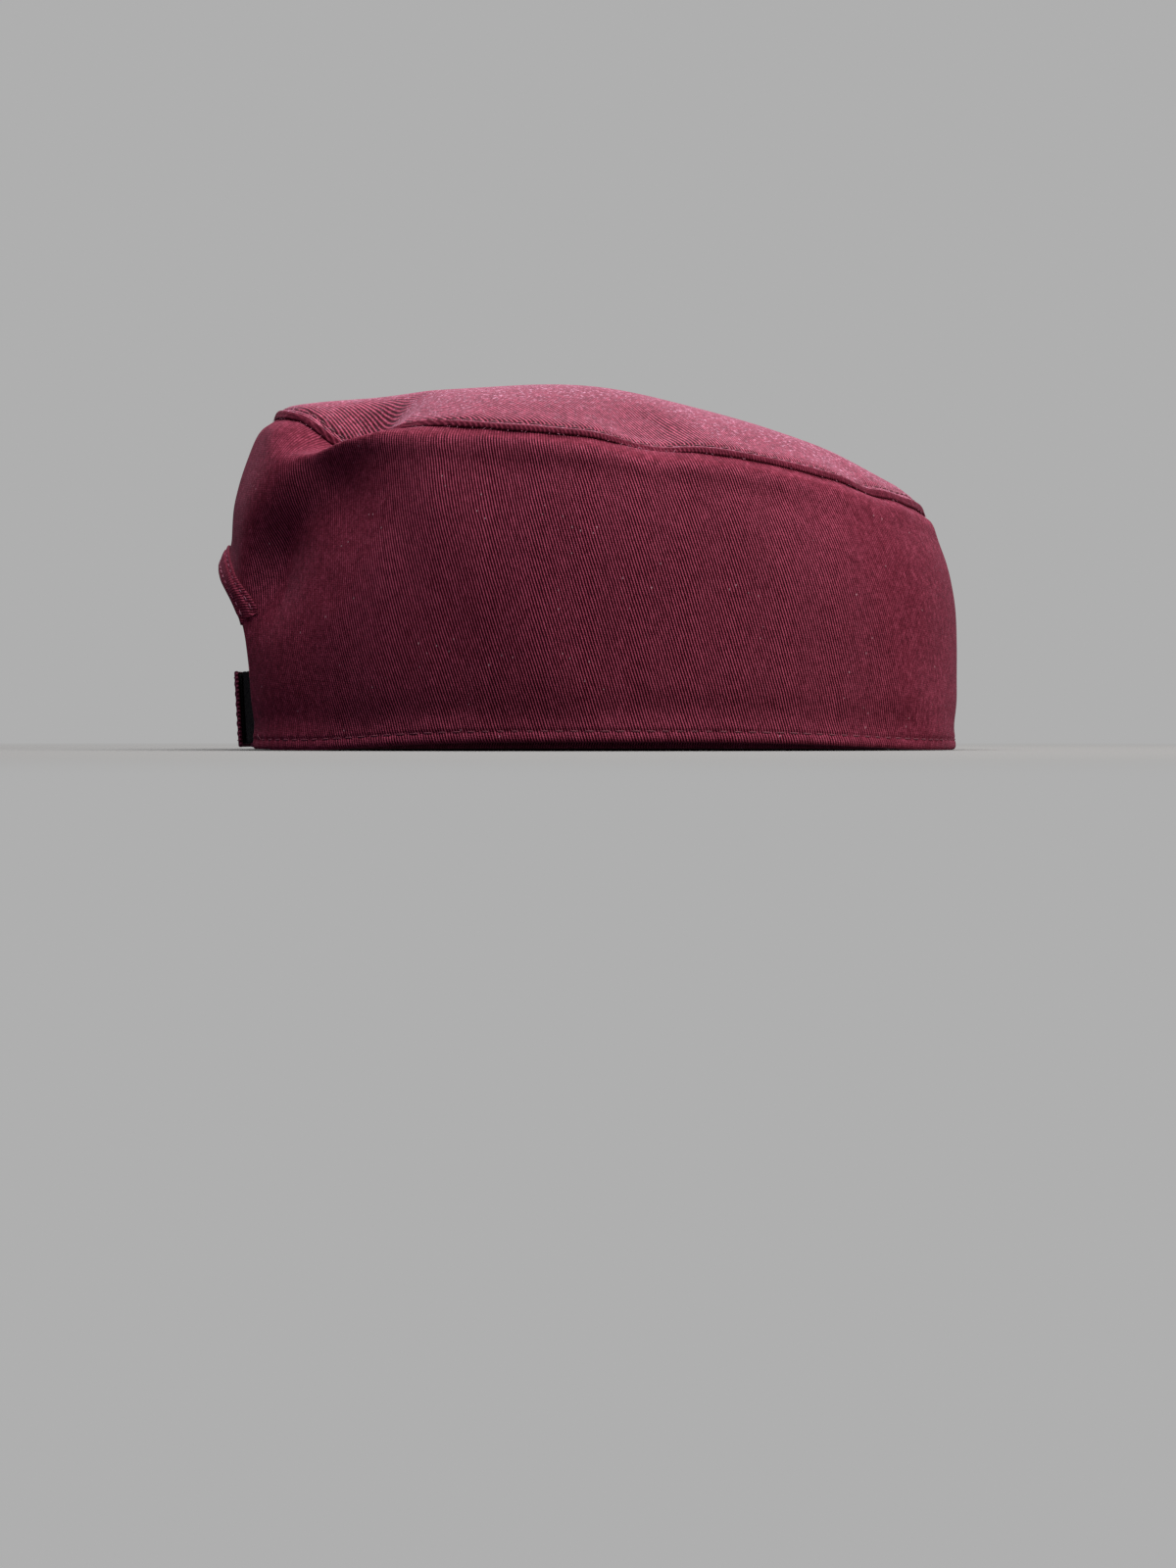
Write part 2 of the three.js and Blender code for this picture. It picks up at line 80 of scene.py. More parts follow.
# the deep tuck at the right back, where the wall folds over the seam: angle, height fraction of the crest,
# how far the seam drops behind it, how far in the seam lies
DEEP_TUCK = np.array([
    (-168, 0.990, 0.0, 0.0), (-164, 0.975, 0.2, 0.2), (-160, 0.945, 0.6, 1.0), (-156, 0.905, 1.6, 3.0), (-153, 0.887, 3.3, 5.0),
    (-150, 0.882, 5.8, 6.5), (-147, 0.890, 8.2, 7.5), (-144, 0.900, 10.2, 8.2), (-141, 0.912, 11.0, 8.4),
    (-138, 0.928, 10.4, 7.8), (-135, 0.943, 8.6, 6.8), (-130, 0.962, 5.0, 4.8), (-126, 0.977, 2.3, 2.6),
    (-120, 0.988, 0.6, 0.7), (-113, 0.990, 0.0, 0.0)])
# side, x1, z1, x2, z2, width above, width below, depth
FOLDS = [
    ("corner valley", -1, -76, 73, -95, 53, 10.0, 18.0, 8.2),
    ("corner valley end", -1, -92, 56, -95, 46, 7.0, 9.0, 1.0),
    ("ridge beside it", -1, -74, 50, -88, 32, 9.0, 11.0, -0.3),
    ("faint valley", -1, -73, 66, -76, 46, 6.0, 6.0, 0.6),
    ("faint valley foot", -1, -76, 46, -86, 28, 7.0, 7.0, 0.7),
    ("left valley", 1, -82, 76, -97, 60, 9.0, 12.0, 2.0),
]
# y, x of the fastened straps' outer face, in plan
CLOSURE = np.array([
    (-42, -91.0), (-33.5, -96.0), (-22, -100.6), (-11, -103.2), (0, -104.0), (11, -103.2),
    (22, -100.6), (33.5, -96.0), (42, -91.0)], float)


# ---------------------------------------------------------------- helpers
def column(keys, vals, at):
    """A smooth curve through a short table."""
    k, v, at = np.asarray(keys, float), np.asarray(vals, float), np.asarray(at, float)
    n = len(k)
    lo, hi = np.maximum(np.arange(n) - 1, 0), np.minimum(np.arange(n) + 1, n - 1)
    m = (v[hi] - v[lo]) / (k[hi] - k[lo])
    i = np.clip(np.searchsorted(k, at, side="right") - 1, 0, n - 2)
    h = k[i + 1] - k[i]
    t = np.clip((at - k[i]) / h, 0, 1)
    t2, t3 = t * t, t * t * t
    return (v[i] * (2 * t3 - 3 * t2 + 1) + m[i] * h * (t3 - 2 * t2 + t)
            + v[i + 1] * (3 * t2 - 2 * t3) + m[i + 1] * h * (t3 - t2))


def step01(a, b, t):
    u = np.clip((t - a) / (b - a), 0, 1)
    return u * u * (3 - 2 * u)


def wrap(d):
    return (d + 540) % 360 - 180


def unit(a):
    return a / np.maximum(np.linalg.norm(a, axis=-1, keepdims=True), 1e-12)


RNG = np.random.default_rng(11)
# long soft undulations that any sewn cloth has: angle frequency, height frequency, phases, size
RIPPLES = [(int(f), h, RNG.uniform(0, 6.28), RNG.uniform(0, 6.28), a) for f, h, a in
           [(5, 1.1, 0.34), (7, 2.0, 0.26), (11, 1.4, 0.20), (13, 3.1, 0.16), (17, 2.2, 0.12), (23, 4.0, 0.08), (31, 2.7, 0.06)]]
RIPPLE_SCALE = 1.0


# ---------------------------------------------------------------- the wall
def seam_height(deg):
    # rounded off at the front and back centre, where the two sides meet
    a = np.abs(wrap(deg))
    a = np.sqrt(a * a + 36 * np.exp(-((a / 12) ** 2)))
    b = 180 - a
    b = np.sqrt(b * b + 25 * np.exp(-((b / 12) ** 2)))
    return column(SEAM[:, 0], SEAM[:, 1], 180 - b)


def hem_height(deg):
    r = np.radians(deg)
    return np.where(np.sin(r) > 0, 0.0, 1.0) * HEM_LIFT * step01(np.where(np.cos(r) > 0, 0.12, 0.40), 1.0, np.sin(r) ** 2)


def from_arch(y, z):
    return np.where(z > ARCH_SPRING, np.hypot(y, z - ARCH_SPRING) - ARCH_HALF, np.abs(y) - ARCH_HALF)


def eave(y, z):
    up = np.maximum(0, z - ARCH_SPRING)
    lean = up / np.maximum(1e-6, np.hypot(y, up))
    return ARCH_FLARE * step01(0.55, 1.0, lean) * np.exp(-((np.maximum(0, from_arch(y, z)) / FLARE_REACH) ** 2))


def wall(deg, v, fine=True):
    """Outer face of the wall, by the angle and the fraction of its height."""
    deg, v = np.broadcast_arrays(np.asarray(deg, float), np.asarray(v, float))
    r = np.radians(deg)
    c, s = np.cos(r), np.sin(r)
    sq = 1 + SQUARENESS * np.sin(2 * r) ** 2
    reach = np.where(c >= 0, column(PROFILE[:, 0], PROFILE[:, 1], v), column(PROFILE[:, 0], PROFILE[:, 3], v))
    side = column(PROFILE[:, 0], PROFILE[:, 2], v)
    x, y = reach * c * sq, side * s * sq
    ox, oy = c / reach, s / side
    ln = np.hypot(ox, oy)
    ox, oy = ox / ln, oy / ln
    low, high = hem_height(deg), seam_height(deg)
    z = low + v * (high - low)
    push = np.zeros_like(x)
    for _, at, spread, drop, inward, start in TUCKS:
        w = np.exp(-((wrap(deg - at) / spread) ** 2))
        z = z - drop * w * step01(start - 0.06, 1, v)
        push = push - inward * w * step01(start, 1.02, v)
    dw = np.clip(wrap(deg), -168, -113)
    crest, drop, inward = (column(DEEP_TUCK[:, 0], DEEP_TUCK[:, i], dw) for i in (1, 2, 3))
    past = (v - crest) / (1 - crest)
    past = (past + np.sqrt(past * past + 0.05)) / (1 + math.sqrt(1.05))
    z = z - drop * past
    push = push - inward * past
    for _, sd, x1, z1, x2, z2, above, below, depth in FOLDS:
        near = step01(25, 45, y * sd)
        ax, az = x2 - x1, z2 - z1
        t = np.clip(((x - x1) * ax + (z - z1) * az) / (ax * ax + az * az), 0, 1)
        d = np.hypot(x - x1 - ax * t, z - z1 - az * t)
        across = (ax * (z - z1) - az * (x - x1)) / math.hypot(ax, az)
        width = above + (below - above) * (0.5 + 0.5 * np.tanh(across / 6.0))
        push = push - depth * near * np.exp(-((d / width) ** 2))
    if fine:
        up = z - low
        for f, h, p, q, a in RIPPLES:
            push = push + RIPPLE_SCALE * a * np.sin(f * r + p + 0.7 * np.sin(2.1 * v)) * np.cos(h * v * 3 + q) * step01(0.0, 0.12, v) * (1 - step01(0.93, 1, v))
        # the wall draws in above the turned hem and is drawn down along its stitches
        push = push - 0.55 * np.exp(-(((up - 8.0) / 4.2) ** 2)) * (0.75 + 0.25 * np.sin(9 * r + 1))
        run = r * 98
        push = push - 0.30 * np.exp(-(((up - HEM_STITCH_AT) / 0.65) ** 2))
        push = push + 0.10 * np.sin(run / HEM_STITCH_PITCH * 6.2832) * np.exp(-(((up - HEM_STITCH_AT) / 1.6) ** 2))
        push = push + 0.22 * np.sin(9 * r + 1.3 * np.sin(3 * r)) * np.exp(-(((up - 5.2) / 3.4) ** 2))
        # small puckers that the crown seam gathers
        dn = high - low - up
        push = push + 0.22 * np.sin(47 * r + 2 * np.sin(6 * r)) * np.exp(-((dn / 5.0) ** 2)) * step01(0.2, 1.2, dn)
        # the sides swell a little just under the seam, then roll over to it
        push = push + 0.70 * s * s * np.exp(-(((dn - 5.2) / 3.4) ** 2))
        # and the seam's own stitches pull a narrow groove along it
        push = push - 0.60 * np.exp(-(((dn - 1.2) / 0.9) ** 2))
    x, y = x + ox * push, y + oy * push
    x = np.where(x < -60, x - eave(y, z), x)
    return np.stack([x, y, z], -1)


def wall_normal(deg, v, fine=True):
    deg, v = np.broadcast_arrays(np.asarray(deg, float), np.asarray(v, float))
    va, vb = np.maximum(0, v - 0.006), np.minimum(1, v + 0.006)
    a = wall(deg + 0.35, v, fine) - wall(deg - 0.35, v, fine)
    b = wall(deg, vb, fine) - wall(deg, va, fine)
    return unit(np.cross(a, b))


def back_place(y, z, fine=False):
    """Angle and height fraction of the places at the back that have a given y and z."""
    y, z = np.broadcast_arrays(np.asarray(y, float), np.asarray(z, float))
    deg = 180 - np.degrees(np.arcsin(np.clip(y / 84, -0.95, 0.95)))
    v = z / 96
    for _ in range(14):
        p, a, b = wall(deg, v, fine), wall(deg + 0.05, v, fine), wall(deg, v + 0.001, fine)
        j11, j12 = (a[..., 1] - p[..., 1]) / 0.05, (b[..., 1] - p[..., 1]) / 0.001
        j21, j22 = (a[..., 2] - p[..., 2]) / 0.05, (b[..., 2] - p[..., 2]) / 0.001
        ey, ez = y - p[..., 1], z - p[..., 2]
        det = j11 * j22 - j12 * j21
        deg = deg + (ey * j22 - ez * j12) / det
        v = np.clip(v + (j11 * ez - j21 * ey) / det, 0, 1)
    return deg, v


# ---------------------------------------------------------------- the crown
def dome_height(x, y):
    reach = np.where(x >= 0, CROWN_FRONT, CROWN_BACK)
    c = np.clip(x / reach, -1, 1)
    half = np.maximum(2, CROWN_SIDE * np.sqrt(np.maximum(0, 1 - c * c)))
    t = np.minimum(1.05, np.abs(y) / half)
    mid = column(RIDGE[:, 0], RIDGE[:, 1], np.clip(x, -92.6, 99.5))
    edge = seam_height(np.degrees(np.arccos(c)))
    return mid - np.maximum(0, mid - edge) * t ** 3.8


def seam_frame(deg):
    p = wall(deg, 1.0)
    n = wall_normal(deg, 1.0, fine=False)
    down = unit(wall(deg, 0.975, fine=False) - wall(deg, 1.0, fine=False))
    return p, n, down


def dome(deg, r, fine=True):
    """Outer face of the crown panel, by the angle and the fraction of the way out."""
    deg, r = np.broadcast_arrays(np.asarray(deg, float), np.asarray(r, float))
    q = np.radians(deg)
    c, s = np.cos(q), np.sin(q)
    sq = 1 + SQUARENESS * np.sin(2 * q) ** 2
    reach = np.where(c >= 0, CROWN_FRONT, CROWN_BACK)
    bx, by = reach * c * sq, CROWN_SIDE * s * sq
    x, y = r * bx, r * by
    z = dome_height(x, y)
    b1 = np.stack([bx, by, dome_height(bx, by)], -1)
    p, n, _ = seam_frame(deg)
    pull = p - b1
    out = np.stack([x, y, z], -1) + pull * step01(0.62, 1, r)[..., None]
    dist = (1 - r) * np.hypot(bx, by)
    # the folded edge stands proud, and its stitches draw it down
    roll = np.sqrt(np.clip(1 - ((dist - 0.55) / 0.72) ** 2, 0, 1))
    welt = 0.34 * step01(9, 3, dist) + 0.14 * step01(2.3, 1.7, dist) + (WELT_THICK - 0.48) * np.where(dist < 0.55, np.maximum(roll, 0.55), roll)
    if fine:
        welt = welt - 0.26 * np.exp(-(((dist - CROWN_STITCH_AT) / 0.6) ** 2)) * (1 + 0.25 * np.sin(142 * q))
        welt = welt + 0.16 * np.sin(27 * q + 2 * np.sin(4 * q)) * np.exp(-(((dist - 5.5) / 4.5) ** 2))
        for k, (f, h, a0, b0, a) in enumerate(RIPPLES):
            welt = welt + RIPPLE_SCALE * 0.9 * a * np.sin(x / (9 + 5 * k) + a0) * np.cos(y / (12 + 4 * ((k * 3) % 7)) + b0) * (1 - step01(0.88, 1.0, r))
        # a soft hollow runs in from the pull in the side seam
        welt = welt - 1.5 * np.exp(-((wrap(deg + 79) / 6.5) ** 2)) * np.exp(-(((dist - 9) / 10) ** 2))
        welt = welt - 0.5 * np.exp(-((wrap(deg + 37) / 5.0) ** 2)) * np.exp(-(((dist - 6) / 7) ** 2))
    return out + n * welt[..., None]


def dome_normal(deg, r, fine=True):
    ra, rb = np.maximum(0.01, r - 0.004), np.minimum(1, r + 0.004)
    n = unit(np.cross(dome(deg, rb, fine) - dome(deg, ra, fine), dome(deg - 0.5, r, fine) - dome(deg + 0.5, r, fine)))
    return np.where(n[..., 2:3] < 0, -n, n)


# ---------------------------------------------------------------- meshes
def make(name, verts, faces, uvs=None, smooth=True, mats=None, mat_ids=None):
    """A mesh object from points in millimetres; faces is an (n, 4) array, with -1 for the missing corner of a triangle."""
    verts = np.asarray(verts, float) * MM
    faces = np.asarray(faces, int)
    tri = faces[:, 3] < 0
    sizes = np.where(tri, 3, 4)
    loops = faces.ravel()[(faces >= 0).ravel()]
    me = bpy.data.meshes.new(name)
    me.vertices.add(len(verts))
    me.vertices.foreach_set("co", verts.astype(np.float32).ravel())
    me.loops.add(len(loops))
    me.loops.foreach_set("vertex_index", loops.astype(np.int32))
    me.polygons.add(len(faces))
    starts = np.concatenate([[0], np.cumsum(sizes)[:-1]])
    me.polygons.foreach_set("loop_start", starts.astype(np.int32))
    me.polygons.foreach_set("loop_total", sizes.astype(np.int32))
    if uvs is not None:
        layer = me.uv_layers.new(name="cloth")
        uvs = np.asarray(uvs, float)
        per = uvs[loops] if uvs.ndim == 2 and len(uvs) == len(verts) else uvs.reshape(-1, 2)
        layer.uv.foreach_set("vector", per.astype(np.float32).ravel())
    me.update(calc_edges=True)
    me.validate(clean_customdata=False)
    if smooth:
        me.polygons.foreach_set("use_smooth", np.ones(len(faces), bool))
    if mats:
        for m in mats:
            me.materials.append(m)
    if mat_ids is not None:
        me.polygons.foreach_set("material_index", np.asarray(mat_ids, np.int32))
    ob = bpy.data.objects.new(name, me)
    bpy.context.scene.collection.objects.link(ob)
    return ob


def outward(ob):
    """Turns the faces out where the closed body came out inside out."""
    me = ob.data
    me.calc_loop_triangles()
    co = np.empty(len(me.vertices) * 3, np.float32)
    me.vertices.foreach_get("co", co)
    co = co.reshape(-1, 3).astype(float)
    t = np.empty(len(me.loop_triangles) * 3, np.int32)
    me.loop_triangles.foreach_get("vertices", t)
    t = t.reshape(-1, 3)
    vol = np.einsum("ij,ij->i", co[t[:, 0]], np.cross(co[t[:, 1]], co[t[:, 2]])).sum() / 6
    if vol < 0:
        me.flip_normals()
    return ob


class Grid:
    """Collects points and faces of one body."""

    def __init__(self):
        self.v, self.f, self.uv, self.n = [], [], [], 0

    def points(self, p, uv):
        p = np.asarray(p, float)
        shape = p.shape[:-1]
        ids = np.arange(self.n, self.n + int(np.prod(shape))).reshape(shape)
        self.v.append(p.reshape(-1, 3))
        self.uv.append(np.broadcast_to(uv, shape + (2,)).reshape(-1, 2))
        self.n += ids.size
        return ids

    def quads(self, ids, close_rows=False, close_cols=False):
        a = ids
        if close_rows:
            a = np.concatenate([a, a[:1]], 0)
        if close_cols:
            a = np.concatenate([a, a[:, :1]], 1)
        q = np.stack([a[:-1, :-1], a[1:, :-1], a[1:, 1:], a[:-1, 1:]], -1).reshape(-1, 4)
        self.f.append(q)

    def ladder(self, a, b):
        """Quads between two equal rows of point numbers."""
        self.f.append(np.stack([a[:-1], b[:-1], b[1:], a[1:]], -1))

    def fan(self, centre, ring, closed=True):
        nxt = np.roll(ring, -1) if closed else ring[1:]
        cur = ring if closed else ring[:-1]
        self.f.append(np.stack([np.full(len(cur), centre), cur, nxt, np.full(len(cur), -1)], -1))

    def make(self, name, mats=None, marks=None):
        """marks: the material number of each group of faces."""
        ids = None
        if marks is not None:
            ids = np.concatenate([np.full(len(f), m) for f, m in zip(self.f, marks)])
        return outward(make(name, np.concatenate(self.v), np.concatenate(self.f), np.concatenate(self.uv), mats=mats, mat_ids=ids))


def weld(ob, dist=1e-6):
    import bmesh
    bm = bmesh.new()
    bm.from_mesh(ob.data)
    bmesh.ops.remove_doubles(bm, verts=bm.verts, dist=dist)
    bmesh.ops.recalc_face_normals(bm, faces=bm.faces)
    bm.to_mesh(ob.data)
    bm.free()
    ob.data.update()
    return outward(ob)


def close_uv(ob, period):
    """Carries the cloth coordinate on over the place where the ring closes."""
    me = ob.data
    layer = me.uv_layers["cloth"]
    uv = np.empty(len(me.loops) * 2, np.float32)
    layer.uv.foreach_get("vector", uv)
    uv = uv.reshape(-1, 2)
    start, total = np.empty(len(me.polygons), np.int32), np.empty(len(me.polygons), np.int32)
    me.polygons.foreach_get("loop_start", start)
    me.polygons.foreach_get("loop_total", total)
    high = np.maximum.reduceat(uv[:, 0], start)
    low = np.minimum.reduceat(uv[:, 0], start)
    split = np.repeat(high - low > period / 2, total)
    uv[:, 0] += np.where(split & (uv[:, 0] < period / 2), period, 0)
    layer.uv.foreach_set("vector", uv.ravel())


# ---------------------------------------------------------------- materials
def nodes_of(mat):
    mat.use_nodes = True
    nt = mat.node_tree
    nt.nodes.clear()
    return nt


# painted_sheen: how much paler the colour is painted where the cloth is seen edge-on, as painted sheen
def twill(name, base, dark, pale, pitch=WALE_PITCH, slant=17.0, rough=0.88, sheen=0.035, sheen_tint=(1.0, 0.60, 0.74, 1), sheen_rough=0.34, painted_sheen=0.07, contrast=1.0, flecks=0.63, grain=1.0,
          bump=1.0, uv_scale=1.0, tone=0.18, nap_and_sheen=0.10, gloss=0.06, fade_from=0.10, fade_to=0.46, faded=0.22):
    """Twill: slanting wales crossed by the weft, with melange, slubs, soft rubbed patches and a little lint."""
    mat = bpy.data.materials.new(name)
    nt = nodes_of(mat)
    N, L = nt.nodes, nt.links

    def math_node(op, a, b=None, c=None):
        n = N.new("ShaderNodeMath")
        n.operation = op
        for i, x in enumerate([a, b, c]):
            if x is None:
                continue
            if isinstance(x, (int, float)):
                n.inputs[i].default_value = x
            else:
                L.new(x, n.inputs[i])
        return n.outputs[0]

    def noise(vec, scale, detail=2.0, rough_=0.5):
        n = N.new("ShaderNodeTexNoise")
        n.noise_dimensions = "3D"
        n.inputs["Scale"].default_value = scale
        n.inputs["Detail"].default_value = detail
        n.inputs["Roughness"].default_value = rough_
        L.new(vec, n.inputs["Vector"])
        return n.outputs["Fac"]

    uv = N.new("ShaderNodeUVMap")
    uv.uv_map = "cloth"
    sep = N.new("ShaderNodeSeparateXYZ")
    L.new(uv.outputs[0], sep.inputs[0])
    u, v = sep.outputs[0], sep.outputs[1]
    tex = N.new("ShaderNodeTexCoord")
    obj = tex.outputs["Object"]
    # the wales wander a little, as yarns do
    wob = noise(obj, 160.0, 2.0)
    wobble = math_node("MULTIPLY", math_node("SUBTRACT", wob, 0.5), 0.40)
    a = math.radians(slant)
    # across the wales: they lean from upper left to lower right
    across = math_node("ADD", math_node("MULTIPLY", u, math.cos(a)), math_node("MULTIPLY", v, math.sin(a)))
    along = math_node("SUBTRACT", math_node("MULTIPLY", v, math.cos(a)), math_node("MULTIPLY", u, math.sin(a)))
    ph = math_node("ADD", math_node("MULTIPLY", across, 1.0 / pitch), wobble)
    wave = math_node("SINE", math_node("MULTIPLY", ph, 2 * math.pi))
    wale = math_node("POWER", math_node("ADD", math_node("MULTIPLY", wave, 0.5), 0.5), 1.25)
    # single yarns along each wale, each offset from its neighbour
    yarn = math_node("SINE", math_node("MULTIPLY", math_node("ADD", math_node("MULTIPLY", along, 1.0 / (pitch * 0.8)), math_node("MULTIPLY", ph, 0.5)), 2 * math.pi))
    yarn = math_node("ADD", math_node("MULTIPLY", yarn, 0.5), 0.5)
    grainy = noise(obj, 1500.0, 2.0, 0.6)
    slub = noise(obj, 520.0, 2.0, 0.6)
    cloud = noise(obj, 26.0, 3.0, 0.55)
    patch = noise(obj, 9.0, 2.0, 0.5)
    height = math_node("ADD", math_node("MULTIPLY", wale, 0.75), math_node("MULTIPLY", yarn, 0.18))
    height = math_node("ADD", height, math_node("MULTIPLY", grainy, 0.22))
    # colour: dark grooves and pale crowns of the wales, partly the yarns' own colour and partly painted shade in the
    # grooves and painted sheen on the crowns; melange and cloudiness over all
    facing = N.new("ShaderNodeLayerWeight")
    facing.inputs["Blend"].default_value = 0.5
    fade = N.new("ShaderNodeMapRange")
    fade.interpolation_type = "SMOOTHSTEP"
    fade.inputs["From Min"].default_value = fade_from
    fade.inputs["From Max"].default_value = fade_to
    fade.inputs["To Min"].default_value = contrast
    fade.inputs["To Max"].default_value = faded * contrast
    L.new(facing.outputs["Facing"], fade.inputs["Value"])
    strong = fade.outputs["Result"]
    light = math_node("MULTIPLY", wale, math_node("ADD", math_node("MULTIPLY", yarn, 0.07), 0.80))
    light = math_node("ADD", math_node("MULTIPLY", math_node("SUBTRACT", light, 0.42), strong), 0.42)
    light = math_node("ADD", light, math_node("MULTIPLY", math_node("SUBTRACT", grainy, 0.5), 0.50 * grain))
    light = math_node("ADD", light, math_node("MULTIPLY", math_node("SUBTRACT", slub, 0.5), 0.35 * grain))
    # each wale has its own tone, which changes slowly along it
    lane = N.new("ShaderNodeCombineXYZ")
    L.new(math_node("MULTIPLY", across, 1.3), lane.inputs[0])
    L.new(math_node("MULTIPLY", along, 0.20), lane.inputs[1])
    streak = noise(lane.outputs[0], 1.0, 2.0, 0.6)
    light = math_node("ADD", light, math_node("MULTIPLY", math_node("SUBTRACT", streak, 0.5), 0.42))
    light = math_node("ADD", light, math_node("MULTIPLY", math_node("SUBTRACT", cloud, 0.5), tone))
    light = math_node("ADD", light, math_node("MULTIPLY", math_node("SUBTRACT", patch, 0.5), tone * 0.6))
    ramp = N.new("ShaderNodeValToRGB")
    ramp.color_ramp.interpolation = "LINEAR"
    ramp.color_ramp.elements[0].position = 0.02
    ramp.color_ramp.elements[0].color = (*dark, 1)
    ramp.color_ramp.elements[1].position = 1.0
    ramp.color_ramp.elements[1].color = (*pale, 1)
    mid = ramp.color_ramp.elements.new(0.42)
    mid.color = (*base, 1)
    L.new(light, ramp.inputs[0])
    # lint: sparse pale specks of fibre
    vor = N.new("ShaderNodeTexVoronoi")
    vor.inputs["Scale"].default_value = 430.0
    drift = N.new("ShaderNodeVectorMath")
    drift.operation = "MULTIPLY"
    L.new(obj, drift.inputs[0])
    drift.inputs[1].default_value = (1.0, 1.0, 0.55)
    L.new(drift.outputs[0], vor.inputs["Vector"])
    spot = math_node("LESS_THAN", vor.outputs["Distance"], 0.075)
    pick = math_node("GREATER_THAN", noise(obj, 75.0, 1.0), flecks)
    lint = math_node("MULTIPLY", math_node("MULTIPLY", spot, pick), 0.40)
    mix = N.new("ShaderNodeMix")
    mix.data_type = "RGBA"
    L.new(lint, mix.inputs["Factor"])
    L.new(ramp.outputs[0], mix.inputs["A"])
    mix.inputs["B"].default_value = (0.62, 0.42, 0.47, 1)
    # raised fibre ends, as fine pale specks, painted stronger where the cloth is seen flat along: real specks with
    # painted sheen on them
    tuft = N.new("ShaderNodeMapRange")
    tuft.interpolation_type = "SMOOTHSTEP"
    tuft.inputs["From Min"].default_value = 0.54
    tuft.inputs["From Max"].default_value = 0.70
    L.new(noise(obj, 950.0, 2.0, 0.75), tuft.inputs["Value"])
    edge_on_sheen_gain = N.new("ShaderNodeMapRange")
    edge_on_sheen_gain.interpolation_type = "SMOOTHSTEP"
    edge_on_sheen_gain.inputs["From Min"].default_value = 0.48
    edge_on_sheen_gain.inputs["From Max"].default_value = 0.86
    edge_on_sheen_gain.inputs["To Min"].default_value = 0.12 * nap_and_sheen
    edge_on_sheen_gain.inputs["To Max"].default_value = nap_and_sheen
    L.new(facing.outputs["Facing"], edge_on_sheen_gain.inputs["Value"])
    tufts_and_sheen = math_node("MULTIPLY", tuft.outputs["Result"], edge_on_sheen_gain.outputs["Result"])
    nap_and_sheen_mix = N.new("ShaderNodeMix")
    nap_and_sheen_mix.data_type = "RGBA"
    L.new(tufts_and_sheen, nap_and_sheen_mix.inputs["Factor"])
    L.new(mix.outputs["Result"], nap_and_sheen_mix.inputs["A"])
    nap_and_sheen_mix.inputs["B"].default_value = (0.64, 0.34, 0.48, 1)
    # painted sheen: seen flat along the cloth, its colour is painted paler, standing in for the sheen off its fibre
    # ends
    painted_sheen_factor = math_node("MULTIPLY", math_node("POWER", facing.outputs["Facing"], 2.0), painted_sheen)
    painted_sheen_mix = N.new("ShaderNodeMix")
    painted_sheen_mix.data_type = "RGBA"
    L.new(painted_sheen_factor, painted_sheen_mix.inputs["Factor"])
    L.new(nap_and_sheen_mix.outputs["Result"], painted_sheen_mix.inputs["A"])
    painted_sheen_mix.inputs["B"].default_value = (0.48, 0.20, 0.30, 1)
    bsdf = N.new("ShaderNodeBsdfPrincipled")
    L.new(painted_sheen_mix.outputs["Result"], bsdf.inputs["Base Color"])
    r2 = math_node("ADD", math_node("MULTIPLY", wale, -0.08), rough)
    L.new(r2, bsdf.inputs["Roughness"])
    bsdf.inputs["Specular IOR Level"].default_value = gloss
    bsdf.inputs["Sheen Weight"].default_value = sheen
    bsdf.inputs["Sheen Roughness"].default_value = sheen_rough
    bsdf.inputs["Sheen Tint"].default_value = sheen_tint
    bmp = N.new("ShaderNodeBump")
    bmp.inputs["Strength"].default_value = 0.55 * bump
    bmp.inputs["Distance"].default_value = 0.00022
    L.new(height, bmp.inputs["Height"])
    L.new(bmp.outputs[0], bsdf.inputs["Normal"])
    out = N.new("ShaderNodeOutputMaterial")
    L.new(bsdf.outputs[0], out.inputs[0])
    return mat


def thread_material(name, color, sheen=0.4, gloss=0.3):
    """Twisted sewing thread."""
    mat = bpy.data.materials.new(name)
    nt = nodes_of(mat)
    N, L = nt.nodes, nt.links
    uv = N.new("ShaderNodeUVMap")
    uv.uv_map = "cloth"
    wave = N.new("ShaderNodeTexWave")
    wave.wave_type, wave.bands_direction = "BANDS", "DIAGONAL"
    wave.inputs["Scale"].default_value = 1.1
    wave.inputs["Distortion"].default_value = 0.6
    L.new(uv.outputs[0], wave.inputs["Vector"])
    ramp = N.new("ShaderNodeValToRGB")
    ramp.color_ramp.elements[0].color = tuple(x * 0.45 for x in color) + (1,)
    ramp.color_ramp.elements[1].color = tuple(color) + (1,)
    L.new(wave.outputs["Fac"], ramp.inputs[0])
    bsdf = N.new("ShaderNodeBsdfPrincipled")
    L.new(ramp.outputs[0], bsdf.inputs["Base Color"])
    bsdf.inputs["Roughness"].default_value = 0.6
    bsdf.inputs["Specular IOR Level"].default_value = gloss
    bsdf.inputs["Sheen Weight"].default_value = sheen
    bsdf.inputs["Sheen Roughness"].default_value = 0.4
    bsdf.inputs["Sheen Tint"].default_value = (1.0, 0.7, 0.8, 1)
    bmp = N.new("ShaderNodeBump")
    bmp.inputs["Strength"].default_value = 0.5
    bmp.inputs["Distance"].default_value = 0.00006
    L.new(wave.outputs["Fac"], bmp.inputs["Height"])
    L.new(bmp.outputs[0], bsdf.inputs["Normal"])
    out = N.new("ShaderNodeOutputMaterial")
    L.new(bsdf.outputs[0], out.inputs[0])
    return mat


